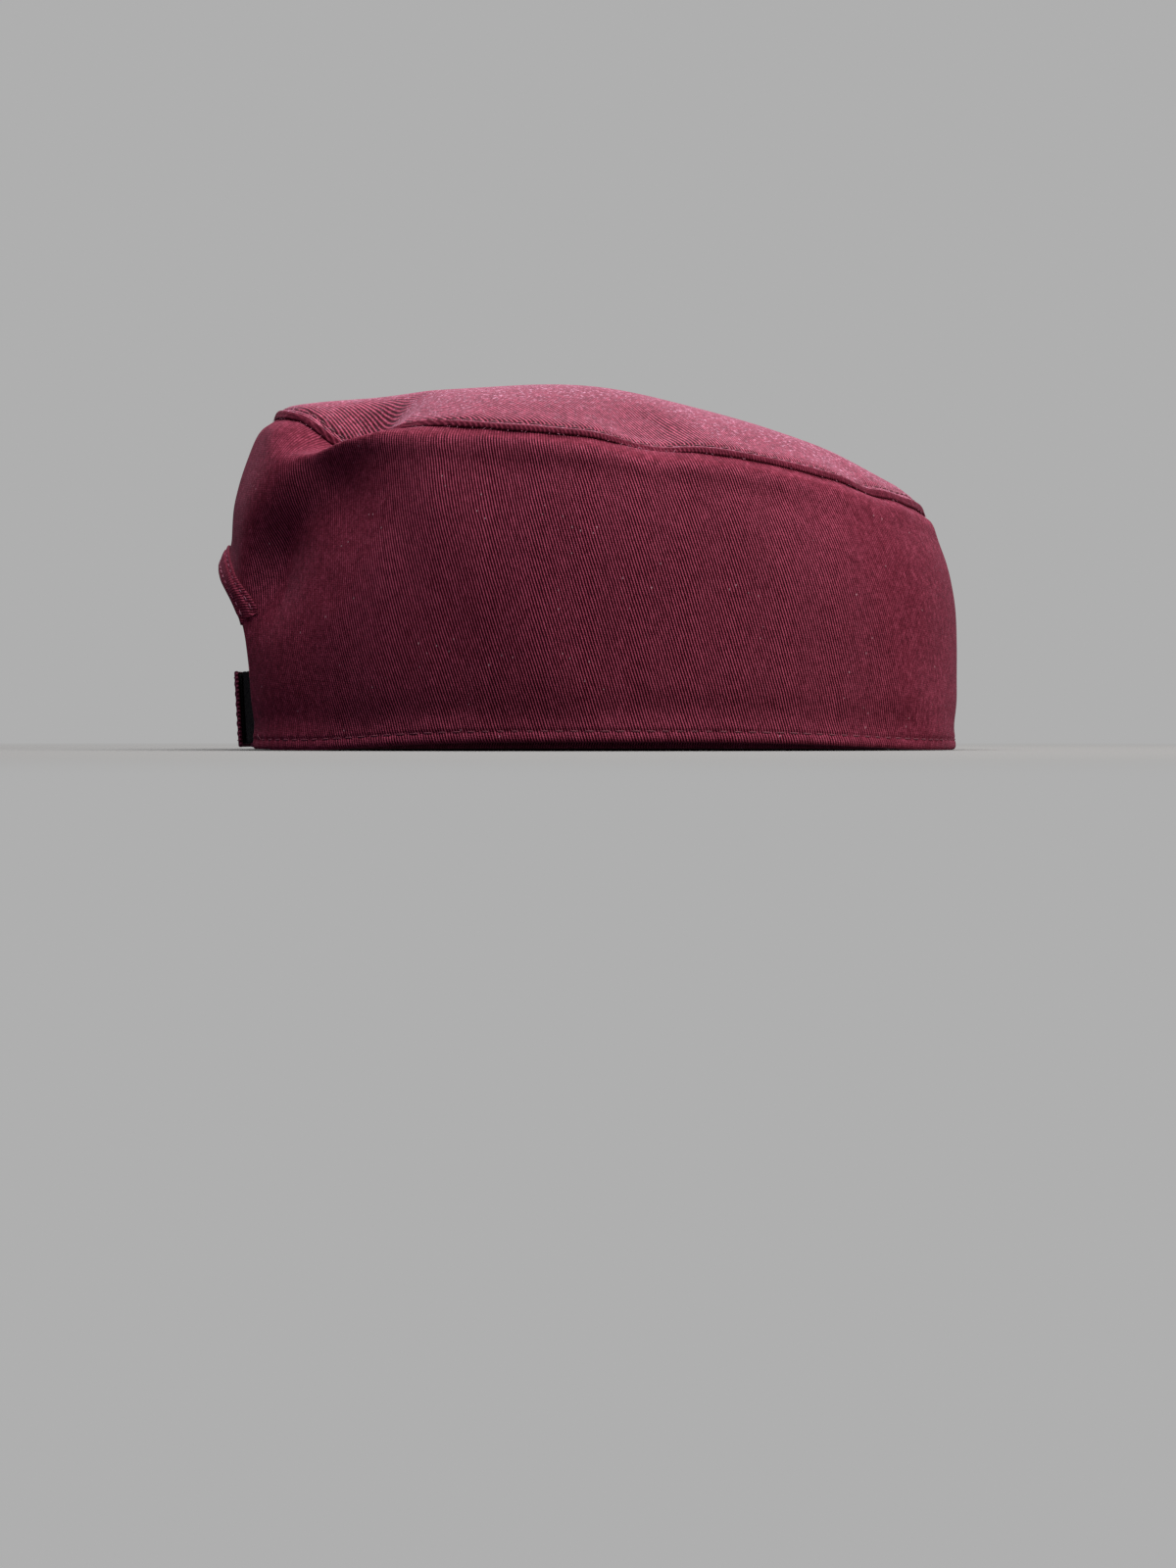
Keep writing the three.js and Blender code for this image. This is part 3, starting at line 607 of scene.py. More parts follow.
def tape_material(name, pile):
    """Black nylon tape: rows of hooks, or brushed loops."""
    mat = bpy.data.materials.new(name)
    nt = nodes_of(mat)
    N, L = nt.nodes, nt.links
    uv = N.new("ShaderNodeUVMap")
    uv.uv_map = "cloth"
    tex = N.new("ShaderNodeTexCoord")
    vor = N.new("ShaderNodeTexVoronoi")
    if pile:
        vor.inputs["Scale"].default_value = 1700.0
        L.new(tex.outputs["Object"], vor.inputs["Vector"])
    else:
        vor.inputs["Scale"].default_value = 1.25
        vor.inputs["Randomness"].default_value = 0.15
        L.new(uv.outputs[0], vor.inputs["Vector"])
    noi = N.new("ShaderNodeTexNoise")
    noi.inputs["Scale"].default_value = 420.0
    noi.inputs["Detail"].default_value = 3.0
    L.new(tex.outputs["Object"], noi.inputs["Vector"])
    mul = N.new("ShaderNodeMath")
    mul.operation = "MULTIPLY"
    L.new(vor.outputs["Distance"], mul.inputs[0])
    L.new(noi.outputs["Fac"], mul.inputs[1])
    ramp = N.new("ShaderNodeValToRGB")
    ramp.color_ramp.elements[0].color = (0.0006, 0.0007, 0.0009, 1)
    ramp.color_ramp.elements[1].color = (0.0045, 0.0048, 0.0058, 1) if pile else (0.006, 0.0065, 0.0075, 1)
    ramp.color_ramp.elements[1].position = 0.5
    L.new(mul.outputs[0], ramp.inputs[0])
    bsdf = N.new("ShaderNodeBsdfPrincipled")
    L.new(ramp.outputs[0], bsdf.inputs["Base Color"])
    bsdf.inputs["Roughness"].default_value = 0.9 if pile else 0.6
    bsdf.inputs["Specular IOR Level"].default_value = 0.10
    bsdf.inputs["Sheen Weight"].default_value = 0.015
    bsdf.inputs["Sheen Roughness"].default_value = 0.5
    bmp = N.new("ShaderNodeBump")
    bmp.inputs["Strength"].default_value = 0.8
    bmp.inputs["Distance"].default_value = 0.00035
    L.new(vor.outputs["Distance"], bmp.inputs["Height"])
    L.new(bmp.outputs[0], bsdf.inputs["Normal"])
    out = N.new("ShaderNodeOutputMaterial")
    L.new(bsdf.outputs[0], out.inputs[0])
    return mat


# DARK and PALE, the grooves' and the wale crowns' colours, carry painted groove shade and painted sheen as well as the
# yarns' own tone
BASE, DARK, PALE = (0.112, 0.0090, 0.0225), (0.021, 0.0008, 0.0042), (0.420, 0.0800, 0.1420)
m_wall = twill("wall_twill", BASE, DARK, PALE, slant=WALL_SLANT, flecks=0.56, contrast=1.15, grain=1.25)
# the crown is the wall's cloth with far more painted sheen and nap sheen: its paler, top-lit look is painted into its
# colour
m_crown = twill("crown_twill", BASE, DARK, PALE, slant=45, sheen=0.22, painted_sheen=0.24, flecks=0.45, contrast=1.0, grain=1.9, nap_and_sheen=0.72, gloss=0.12, fade_from=0.52, fade_to=0.88, faded=0.38)
# painted shade: a darker copy of the crown cloth, with less sheen, for the rolled edge and rim of the crown
m_fold_painted_shade = twill("crown_fold_twill_painted_shade", (0.078, 0.0064, 0.0170), DARK, (0.300, 0.0480, 0.0900), slant=45, sheen=0.03, painted_sheen=0.03, contrast=0.45)
m_bind = twill("binding_twill", BASE, DARK, PALE, pitch=0.80, slant=-30)
m_strap = twill("strap_twill", (0.110, 0.0125, 0.0320), (0.028, 0.0022, 0.0085), (0.36, 0.085, 0.15), pitch=0.80, slant=40)
m_thread = thread_material("sewing_thread", (0.17, 0.026, 0.052), sheen=0.1)
# painted shade: dark thread-like bits sunk between the stitches, standing in for the shade in the needle holes
m_hole_painted_shade = thread_material("needle_hole_shade", (0.022, 0.0018, 0.0065), sheen=0.0, gloss=0.02)
m_pale = thread_material("binding_thread", (0.34, 0.085, 0.15), sheen=0.2)
m_hook = tape_material("hook_tape", False)
m_loop = tape_material("loop_tape", True)


# ---------------------------------------------------------------- side band
def side_band():
    g = Grid()
    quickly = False
    # columns in front of the arch, by angle, from its left edge round the front to its right edge
    edge_deg, _ = back_place(ARCH_HALF, 12.0)
    edge = float(edge_deg)                       # on the wearer's left, under 180
    n_front = 300 if quickly else 560
    t = np.linspace(0, 1, n_front)
    # closer together where the folds are
    s = np.linspace(edge, 360 - edge - 360, n_front)
    dens = 1 + 1.3 * np.exp(-((wrap(s - 140) / 22) ** 2)) + 1.9 * np.exp(-((wrap(s + 140) / 22) ** 2))
    cum = np.concatenate([[0], np.cumsum((dens[1:] + dens[:-1]) / 2)])
    front = np.interp(t, cum / cum[-1], s)       # from +edge down to -edge
    # columns over the arch, by the angle round it
    n_arch = 60 if quickly else 110
    a = np.linspace(0, math.pi, n_arch + 2)[1:-1]
    arch_y = -ARCH_HALF * np.cos(a)              # from -33.5 to 33.5
    arch_z = ARCH_SPRING + ARCH_HALF * np.sin(a)
    arch_deg, arch_v = back_place(arch_y, arch_z)
    top_deg = wrap(-edge - (360 - 2 * edge) * a / math.pi)

    # heights in the lower block, from the fold of the hem to the springing of the arch
    up_low = np.concatenate([np.linspace(HEM_WALL / 2, 6.5, 16), np.linspace(6.5, ARCH_SPRING, 13)[1:]])
    low, high = hem_height(front), seam_height(front)
    first, last = up_low[0] / (high - low), (ARCH_SPRING - low) / (high - low)
    v_low = first + (last - first) * ((up_low - up_low[0]) / (up_low[-1] - up_low[0]))[:, None]
    d_low = np.broadcast_to(front, v_low.shape).copy()
    # the two edge columns are straight up and down, rounded at the foot
    z_edge = up_low
    foot = np.where(z_edge < ARCH_CORNER, ARCH_CORNER - np.sqrt(np.maximum(0, ARCH_CORNER ** 2 - (ARCH_CORNER - z_edge) ** 2)), 0)
    want, v_e = back_place(ARCH_HALF + foot, z_edge)
    shift = want - edge                          # negative: towards the front
    for sgn, first in ((1, True), (-1, False)):
        dist = np.abs(wrap(front - sgn * edge)) * 1.55
        fade = np.exp(-((dist / 7.0) ** 2))
        d_low += sgn * shift[:, None] * fade[None, :]
    # upper block, for all columns round the ring
    ring_deg_low = np.concatenate([d_low[-1], wrap(arch_deg) % 360 - 360 * (wrap(arch_deg) % 360 > 180)])
    ring_v_low = np.concatenate([v_low[-1], arch_v])
    ring_deg_top = np.concatenate([front, wrap(top_deg)])
    ring_deg_low = np.concatenate([d_low[-1], wrap(arch_deg)])
    n_up = 44 if quickly else 66
    w = np.linspace(0, 1, n_up)
    w = w + 0.10 * np.sin(w * math.pi * 2) / (2 * math.pi) * 0
    w = 1 - (1 - w) ** 1.12
    turn = wrap(ring_deg_top - ring_deg_low)
    d_up = ring_deg_low[None, :] + turn[None, :] * w[:, None]
    v_up = ring_v_low[None, :] + (1 - ring_v_low)[None, :] * w[:, None]

    nf = n_front

    turn_deg = np.linspace(-180, 180, 721)
    ring_at = wall(turn_deg, 0.5, fine=False)
    ring_run = np.concatenate([[0], np.cumsum(np.linalg.norm(np.diff(ring_at, axis=0), axis=1))])
    wale = WALE_PITCH / math.cos(math.radians(WALL_SLANT))
    ring_run *= round(ring_run[-1] / wale) * wale / ring_run[-1]

    def cloth_uv(deg, v, p):
        run = np.interp(wrap(deg), turn_deg, ring_run)
        return np.stack([run, p[..., 2]], -1)

    def layer(depth_low, depth_up, rows_low, rows_up):
        pl, pu = wall(d_low[rows_low], v_low[rows_low]), wall(d_up[rows_up], v_up[rows_up])
        if depth_low is not None:
            smooth_n = wall_normal(d_low[rows_low], v_low[rows_low], fine=False)
            pl = pl - smooth_n * depth_low[..., None]
            smooth_n = wall_normal(d_up[rows_up], v_up[rows_up], fine=False)
            pu = pu - smooth_n * depth_up[..., None]
        return pl, pu

    rows_l, rows_u = np.arange(len(up_low)), np.arange(n_up)
    o_low, o_up = layer(None, None, rows_l, rows_u)
    # inside: the turned hem is thicker, and ends in a folded edge
    in_l = rows_l
    in_u = np.unique(np.concatenate([np.arange(0, n_up, 3), [n_up - 1]]))
    at_arch = step01(30, 36, 0) * 0
    ang = np.abs(wrap(d_low))
    trim = 1 - step01(edge - 8.5, edge - 6.5, ang)
    turn_in = WALL + (HEM_WALL - WALL) * trim * step01(HEM_TURN + 0.5, HEM_TURN - 0.5, up_low[:, None])
    # the inner face of the wall and of the turned hem
    i_low, i_up = layer(turn_in, np.full((len(in_u), d_up.shape[1]), WALL), in_l, in_u)

    uv_ol, uv_ou = cloth_uv(d_low, v_low, o_low), cloth_uv(d_up, v_up, o_up)
    ID_ol = g.points(o_low, uv_ol)
    ID_ou = g.points(o_up[1:], uv_ou[1:])
    ID_il = g.points(i_low, uv_ol + [0, 0.4])
    ID_iu = g.points(i_up[1:], cloth_uv(d_up[in_u], v_up[in_u], i_up)[1:] + [0, 0.4])
    # arch edge points of the outer and inner face
    ID_oa = g.points(o_up[0, nf:], uv_ou[0, nf:])
    ID_ia = g.points(i_up[0, nf:], uv_ou[0, nf:] + [0, 0.4])
    g.quads(ID_ol)
    g.quads(ID_il)
    full_o = np.concatenate([np.concatenate([ID_ol[-1], ID_oa])[None], ID_ou], 0)
    full_i = np.concatenate([np.concatenate([ID_il[-1], ID_ia])[None], ID_iu], 0)
    g.quads(full_o, close_cols=True)
    g.quads(full_i, close_cols=True)
    # top edge, under the welt
    top_o, top_i = np.append(full_o[-1], full_o[-1][0]), np.append(full_i[-1], full_i[-1][0])
    g.ladder(top_o, top_i)
    # the fold of the hem
    n_arc = 7
    p0, p1 = o_low[0], i_low[0]
    mid, half = (p0 + p1) / 2, (p0 - p1) / 2
    rad_ = np.linalg.norm(half, axis=-1, keepdims=True)
    phi = np.linspace(0, math.pi, n_arc + 2)[1:-1]
    arc = mid[None] + half[None] * np.cos(phi)[:, None, None] - np.array([0, 0, 1.0]) * rad_[None] * np.sin(phi)[:, None, None]
    arc[..., 2] = np.maximum(arc[..., 2], hem_height(front)[None, :] + 0.0)
    ID_arc = g.points(arc, uv_ol[0][None] + np.stack([0 * phi, -phi * 1.1], -1)[:, None, :])
    hem_ring = np.concatenate([ID_ol[:1], ID_arc, ID_il[:1]], 0)
    g.quads(hem_ring)
    # the two upright edges of the arch, and its round top: rounded folds of cloth
    def edge_strip(ida, idb, pa, pb, push_dir):
        m, h = (pa + pb) / 2, (pa - pb) / 2
        rr = np.linalg.norm(h, axis=-1, keepdims=True)
        ph = np.linspace(0, math.pi, 5)[1:-1]
        ring = m[None] + h[None] * np.cos(ph)[:, None, None] + push_dir[None] * rr[None] * np.sin(ph)[:, None, None]
        ids = g.points(ring, np.zeros(2))
        g.quads(np.concatenate([ida[None], ids, idb[None]], 0))
        return ids
    arcs = {}
    for sgn, c in ((1, 0), (-1, nf - 1)):
        push = np.zeros((len(up_low), 3))
        push[:, 1] = -sgn
        chain_o = np.concatenate([ID_ol[:, c]])
        ids = edge_strip(ID_ol[:, c], ID_il[:, c], o_low[:, c], i_low[:, c], push)
        arcs[c] = ids
        # closes the little half-round end of the hem's fold
        ring = np.concatenate([[ID_ol[0, c]], ids[:, 0], [ID_il[0, c]], ID_arc[::-1, c]])
        ctr = g.points((o_low[0, c] + i_low[0, c]) / 2 + np.array([0, -sgn * 0.25, -0.35]), np.zeros(2))
        g.fan(int(ctr), ring)
    cols = np.concatenate([[nf - 1], np.arange(nf, nf + len(a)), [0]])
    io = np.concatenate([[ID_ol[-1, nf - 1]], ID_oa, [ID_ol[-1, 0]]])
    ii = np.concatenate([[ID_il[-1, nf - 1]], ID_ia, [ID_il[-1, 0]]])
    po = np.concatenate([o_low[-1, nf - 1][None], o_up[0, nf:], o_low[-1, 0][None]])
    pi_ = np.concatenate([i_low[-1, nf - 1][None], i_up[0, nf:], i_low[-1, 0][None]])
    m, h = (po + pi_) / 2, (po - pi_) / 2
    rr = np.linalg.norm(h, axis=-1, keepdims=True)
    ang_a = np.concatenate([[0], a, [math.pi]])
    pd = np.stack([0 * ang_a, np.cos(ang_a), -np.sin(ang_a)], -1)
    ph = np.linspace(0, math.pi, 5)[1:-1]
    ring = m[None] + h[None] * np.cos(ph)[:, None, None] + pd[None] * rr[None] * np.sin(ph)[:, None, None]
    ids = g.points(ring[:, 1:-1], np.zeros(2))
    ends_l = arcs[nf - 1][:, -1][:, None]
    ends_r = arcs[0][:, -1][:, None]
    allr = np.concatenate([ends_l, ids, ends_r], 1)
    g.quads(np.concatenate([io[None], allr, ii[None]], 0))
    ob = g.make("side_band_cloth", [m_wall])
    weld(ob, 1e-7)
    close_uv(ob, ring_run[-1])
    return ob


# ---------------------------------------------------------------- top panel
def top_panel():
    g = Grid()
    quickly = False
    n = 260 if quickly else 480
    t = np.arange(n) / n * 360
    deg = t + 8 * np.sin(np.radians(t))
    # distance from the edge, in steps that shorten towards it
    near = np.concatenate([np.linspace(7, 3.4, 10), np.linspace(3.4, 0.0, 27)[1:]])
    q = np.radians(deg)
    sq = 1 + SQUARENESS * np.sin(2 * q) ** 2
    length = np.hypot(np.where(np.cos(q) >= 0, CROWN_FRONT, CROWN_BACK) * np.cos(q) * sq, CROWN_SIDE * np.sin(q) * sq)
    r_in = np.linspace(0.0, 1, 46 if quickly else 64)[1:-1]
    rows = [s * (1 - 7 / length) for s in r_in] + [1 - d / length for d in near]
    R = np.stack(rows)
    D = np.broadcast_to(deg, R.shape)
    P = dome(D, R)
    uv = P[..., :2] + 0.0
    ids = g.points(P, np.stack([P[..., 0], P[..., 1]], -1))
    centre_p = dome(0.0, 0.0)
    centre = int(g.points(centre_p, centre_p[:2]))
    g.fan(centre, ids[0])
    fold_at = len(rows) - 8                      # rows nearer the edge belong to the fold's roll
    g.quads(ids[:fold_at + 1], close_cols=True)
    g.quads(ids[fold_at:], close_cols=True)
    # rounded rim: over the top, down to the wall, and back under
    p, nrm, down = seam_frame(deg)
    lip = dome(deg, 1.0)
    high = np.einsum("ij,ij->i", lip - p, nrm)
    rim = []
    wav = 1 + 0.10 * np.sin(q * 88 / CROWN_STITCH_PITCH * 1.0) + 0.08 * np.sin(q * 41)
    for lap, off in ((0.40, 0.86), (0.70, 0.72), (0.90, 0.54), (1.0, 0.34), (0.92, 0.16), (0.72, 0.05), (0.3, 0.03), (-0.3, 0.03)):
        rim.append(p + down * (WELT_LAP * lap * wav)[:, None] + nrm * (high * off + 0.02)[:, None])
    rim = np.stack(rim)
    ids_r = g.points(rim, np.stack([rim[..., 0], rim[..., 1]], -1))
    g.quads(np.concatenate([ids[-1:], ids_r], 0), close_cols=True)
    # underside
    ru = np.array([2.6, 5, 9])
    inner = [1 - d / length for d in ru] + [s * (1 - 9 / length) for s in np.linspace(1, 0, 26)[1:-1]]
    RU = np.stack(inner)
    DU = np.broadcast_to(deg, RU.shape)
    U = dome(DU, RU, fine=False) - dome_normal(DU, RU, fine=False) * PANEL
    ids_u = g.points(U, np.stack([U[..., 0], U[..., 1]], -1))
    cu = int(g.points(centre_p - np.array([0, 0, PANEL]), centre_p[:2]))
    g.quads(np.concatenate([ids_r[-1:], ids_u], 0), close_cols=True)
    g.fan(cu, ids_u[-1][::-1])
    # the fold's roll and the rim take the darker copy of the crown cloth, as painted shade
    return g.make("top_panel_cloth", [m_crown, m_fold_painted_shade], [0, 0, 1, 1, 0, 0])


# ---------------------------------------------------------------- binding
def bind_base(ang_deg, d):
    """A point of the wall at distance d from the arch's edge, at an angle round the arch."""
    a = np.radians(ang_deg)
    y, z = (ARCH_HALF + d) * np.cos(a), ARCH_SPRING + (ARCH_HALF + d) * np.sin(a)
    deg, v = back_place(y, z)
    return wall(deg, v), wall_normal(deg, v, fine=False)


def arch_binding():
    g = Grid()
    n = 200
    ang = np.linspace(BIND_END, 180 - BIND_END, n)
    t, w = BIND_THICK, WALL
    gap = 0.12
    sec = [(BIND_OUT, gap), (BIND_OUT + 0.18, gap + t * 0.35), (BIND_OUT, gap + t * 0.8), (BIND_OUT - 0.45, gap + t), (BIND_OUT - 0.95, gap + t * 0.78),
           (BIND_OUT - 1.5, gap + t), (4.4, gap + t * 1.2), (3.7, gap + t * 1.28), (2.9, gap + t * 1.2), (2.1, gap + t * 0.98), (1.5, gap + t * 0.74), (0.95, gap + t * 0.92),
           (0.3, gap + t), (-0.4, gap + t * 0.72), (-0.85, gap * 0.5), (-1.0, -w * 0.5), (-0.85, -w - gap * 0.5), (-0.4, -w - gap - t * 0.72),
           (0.4, -w - gap - t), (2.2, -w - gap - t), (4.0, -w - gap - t), (BIND_IN, -w - gap - t * 0.7), (BIND_IN, -w - gap), (3, -w - gap),
           (0.2, -w - gap), (-0.1, -w * 0.5), (0.2, gap), (3, gap), (5, gap)]
    d, off = np.array([k[0] for k in sec]), np.array([k[1] for k in sec])
    A, Dd = np.meshgrid(ang, d, indexing="ij")
    base, nrm = bind_base(A, Dd)
    amp = np.zeros(len(sec))
    amp[4:12] = 1
    arc = np.radians(ang) * (ARCH_HALF + 4)
    puck = 0.13 * np.sin(arc / 2.2 + 1.5 * np.sin(arc / 9.0))
    P = base + nrm * (off[None, :] + puck[:, None] * amp[None, :])[..., None]
    # its ends are gathered and tucked flat
    fall = np.minimum(ang - BIND_END, 180 - BIND_END - ang)
    endp = 1 - step01(0, 8.0, fall)
    gather = 0.20 * np.sin(d * 3.4)[None, :] * endp[:, None] * (off > 0)[None, :]
    P = P + nrm * (gather - 0.52 * endp[:, None] * (off > 0.5)[None, :])[..., None]
    uv = np.stack([np.broadcast_to(arc[:, None], A.shape), Dd], -1)
    ids = g.points(P, uv)
    g.quads(ids, close_cols=True)
    for row, end in ((ids[0], 0), (ids[-1], -1)):
        k = len(sec)
        for j in range(k // 2 - 1):
            a_, b_, c_, d_ = row[j], row[j + 1], row[k - 2 - j], row[k - 1 - j]
            g.f.append(np.array([[a_, b_, c_, d_]]))
    if len(sec) % 2:
        for row in (ids[0], ids[-1]):
            j = len(sec) // 2 - 1
            g.f.append(np.array([[row[j], row[j + 1], row[j + 2], -1]]))
    ob = g.make("arch_binding_cloth", [m_bind])
    return weld(ob, 1e-7)


# ---------------------------------------------------------------- straps and tapes
HIGH = STRAP_LOW + STRAP_TALL
HOOK_DEPTH = STRAP_THICK + TAPE_GAP
LOOP_DEPTH = HOOK_DEPTH + TAPE_THICK + TAPE_GAP
TAB_DEPTH = LOOP_DEPTH + TAPE_THICK + TAPE_GAP


def closure_x(y):
    return column(CLOSURE[:, 0], CLOSURE[:, 1], y)


def strap_frame(y, z, depth):
    slope = closure_x(y + 0.5) - closure_x(y - 0.5)
    n = unit(np.stack([-np.ones_like(y), slope, np.zeros_like(y)], -1))
    lean = STRAP_LEAN * (z / HIGH - 0.5) * step01(-34, -12, y) * step01(-34, -12, -y)
    p = np.stack([closure_x(y) - lean, y, z], -1)
    return p - n * np.asarray(depth)[..., None], n


def strip(name, y0, y1, low, high, deep, thick, mat, n_y, edge=0.45, fray=0.0, bulge=0.0):
    """A flat strip that follows the closure, with rounded long edges and ends."""
    g = Grid()
    ys = np.linspace(y0, y1, n_y)
    half = thick / 2
    # section: up the outer face, over the top edge, down the inner face, round the bottom edge
    zs = np.linspace(low + edge, high - edge, 22)
    top = [(edge * math.sin(p), half * math.cos(p)) for p in np.linspace(0, math.pi, 6)[1:-1]]
    sec = [(z, half) for z in zs] + [(high - edge + dz, o) for dz, o in top] + [(z, -half) for z in zs[::-1]] \
        + [(low + edge - dz, -o) for dz, o in top]
    Z, O = np.array([k[0] for k in sec]), np.array([k[1] for k in sec])
    Y, ZZ = np.meshgrid(ys, Z, indexing="ij")
    OO = np.broadcast_to(O, Y.shape)
    rng = np.random.default_rng(len(name))
    wob = 0.10 * np.sin(Y / 3.1 + 1.0) + 0.07 * np.sin(Y / 1.7 + ZZ / 4.0)
    end = np.minimum(Y - min(y0, y1), max(y0, y1) - Y)
    round_ = 1 - 0.55 * (1 - step01(0, 0.6, end))
    zmid = (low + high) / 2
    Z2 = zmid + (ZZ - zmid) * (1 - 0.03 * (1 - step01(0, 1.0, end)))
    if fray:
        Z2 = Z2 + np.where(ZZ > high - edge - 0.2, fray * (np.abs(np.sin(Y * 1.9)) * 0.6 + rng.uniform(-0.4, 0.5, Y.shape[0])[:, None]), 0)
    puff = bulge * np.sin(np.pi * np.clip((ZZ - low) / (high - low), 0, 1))
    P, n = strap_frame(Y, Z2, deep(Y) + half)
    P = P + n * (OO * round_ + wob * 0.6 + puff * np.sign(OO))[..., None]
    uv = np.stack([Y, ZZ], -1)
    ids = g.points(P, uv)
    g.quads(ids, close_cols=True)
    for k, row in ((0, ids[0]), (-1, ids[-1])):
        c = int(g.points(P[k].mean(0), np.array([ys[k], zmid])))
        g.fan(c, row)
    ob = g.make(name, [mat])
    return weld(ob, 1e-8)


def dive(y):
    return (TAB_DEPTH + 0.1) * step01(17, 31, y)


# ---------------------------------------------------------------- stitches
def stitches(name, centres, dirs, normals, length, radius, mat, lift=0.06, tilt=0.0):
    """Short rounded lengths of thread, each dipping into the cloth at its two ends."""
    k, m = 9, 7
    t = np.linspace(-1, 1, k)
    prof = np.sqrt(np.clip(1 - np.abs(t) ** 3.2, 0.02, 1))
    dip = -(np.abs(t) ** 2.4) * radius * 1.5
    phi = np.arange(m) / m * 2 * math.pi
    c, d, n = np.asarray(centres), unit(np.asarray(dirs)), unit(np.asarray(normals))
    b = unit(np.cross(n, d))
    if tilt:
        d = unit(d + b * tilt)
        b = unit(np.cross(n, d))
    ln = np.broadcast_to(np.asarray(length, float), (len(c),))
    axis = c[:, None, :] + d[:, None, :] * (t[None, :, None] * ln[:, None, None] / 2) + n[:, None, :] * (dip[None, :, None] + lift)
    ring = (b[:, None, None, :] * np.cos(phi)[None, None, :, None] + n[:, None, None, :] * np.sin(phi)[None, None, :, None] * 0.8)
    P = axis[:, :, None, :] + ring * (radius * prof)[None, :, None, None]
    N_ = len(c)
    ids = np.arange(N_ * k * m).reshape(N_, k, m)
    nxt = np.roll(ids, -1, axis=2)
    quads = np.stack([ids[:, :-1], ids[:, 1:], nxt[:, 1:], nxt[:, :-1]], -1).reshape(-1, 4)
    verts = P.reshape(-1, 3)
    uv = np.stack([np.broadcast_to(t[None, :, None] * 3, ids.shape), np.broadcast_to(phi[None, None, :] / 2, ids.shape)], -1).reshape(-1, 2)
    caps_v = np.concatenate([axis[:, 0], axis[:, -1]])
    c0 = np.arange(N_) + len(verts)
    c1 = c0 + N_
    a0 = np.stack([np.repeat(c0, m), nxt[:, 0].ravel(), ids[:, 0].ravel(), np.full(N_ * m, -1)], -1)
    a1 = np.stack([np.repeat(c1, m), ids[:, -1].ravel(), nxt[:, -1].ravel(), np.full(N_ * m, -1)], -1)
    verts = np.concatenate([verts, caps_v])
    uv = np.concatenate([uv, np.zeros((2 * N_, 2))])
    return outward(make(name, verts, np.concatenate([quads, a0, a1]), uv, mats=[mat]))


def along(points, pitch, jitter=0.0, seed=3):
    """Evenly spaced places and directions along a line of points."""
    seg = np.linalg.norm(np.diff(points, axis=0), axis=1)
    s = np.concatenate([[0], np.cumsum(seg)])
    count = max(2, int(round(s[-1] / pitch)))
    at = (np.arange(count) + 0.5) / count * s[-1]
    if jitter:
        at = at + np.random.default_rng(seed).uniform(-jitter, jitter, count)
    at = np.clip(at, 0, s[-1])
    return at, s


def line_stitches(name, P, N_, pitch, length, radius, mat, lift=0.05, jitter=0.12, seed=3, tilt=0.0, between=0.0):
    at, s = along(P, pitch, jitter, seed)
    if between:
        at = (at[1:] + at[:-1]) / 2
    c = np.stack([np.interp(at, s, P[:, i]) for i in range(3)], -1)
    a = np.stack([np.interp(np.clip(at - 0.6, 0, s[-1]), s, P[:, i]) for i in range(3)], -1)
    b = np.stack([np.interp(np.clip(at + 0.6, 0, s[-1]), s, P[:, i]) for i in range(3)], -1)
    n = np.stack([np.interp(at, s, N_[:, i]) for i in range(3)], -1)
    ln = length * np.random.default_rng(seed + 9).uniform(0.88, 1.08, len(c))
    return stitches(name, c, b - a, n, ln, radius, mat, lift, tilt)


pieces = []


def keep(ob, slot_name, *nodes):
    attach(ob, "root")
    if nodes:
        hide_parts(*nodes)
    pieces.append(ob)
    return ob


keep(side_band(), "wall_twill", "side_band")
keep(top_panel(), "crown_twill", "top_panel")
keep(arch_binding(), "binding_twill", "arch_binding")
keep(strip("strap_cloth", -11.5, 42, STRAP_LOW, HIGH, dive, STRAP_THICK, m_strap, 130), "strap_twill", "strap")
keep(strip("hook_tape_cloth", -10.9, 14, STRAP_LOW + 0.9, HIGH - 0.9, lambda y: HOOK_DEPTH - 0.22, TAPE_THICK + 0.2, m_hook, 60, edge=0.3), "hook_tape", "strap_hook_tape")
keep(strip("loop_tape_cloth", -32, 15, STRAP_LOW + TAPE_MARGIN, HIGH - 0.5, lambda y: LOOP_DEPTH - 0.15, TAPE_THICK + 0.35, m_loop, 110, edge=0.3, fray=0.35), "loop_tape", "tab_loop_tape")
keep(strip("tab_cloth", -42, 16.5, STRAP_LOW, HIGH, lambda y: TAB_DEPTH + 0 * y, STRAP_THICK, m_strap, 130), "strap_twill", "tab")

# hem stitches: along the foot of the wall, and turned up at the two lower corners of the arch
edge_deg = float(back_place(ARCH_HALF, 12.0)[0])
hd = np.linspace(edge_deg - 2.0, -(edge_deg - 2.0), 1500)
hv = HEM_STITCH_AT / (seam_height(hd) - hem_height(hd))
corner = np.linspace(0, math.pi / 2, 12)
def corner_run(sgn):
    y = sgn * (ARCH_HALF + 2.9 + 2.6 * (1 - np.sin(corner)))
    z = HEM_STITCH_AT + 2.6 * (1 - np.cos(corner))
    dg, vv = back_place(y, z)
    return dg, vv
cl, cr = corner_run(1), corner_run(-1)
deg_all = np.concatenate([cl[0][::-1], hd[8:-8], wrap(cr[0])])
v_all = np.concatenate([cl[1][::-1], hv[8:-8], cr[1]])
P, N_ = wall(deg_all, v_all), wall_normal(deg_all, v_all, fine=False)
keep(line_stitches("hem_stitches", P, N_, HEM_STITCH_PITCH, 3.1, 0.23, m_thread, lift=0.07), "wall_twill")
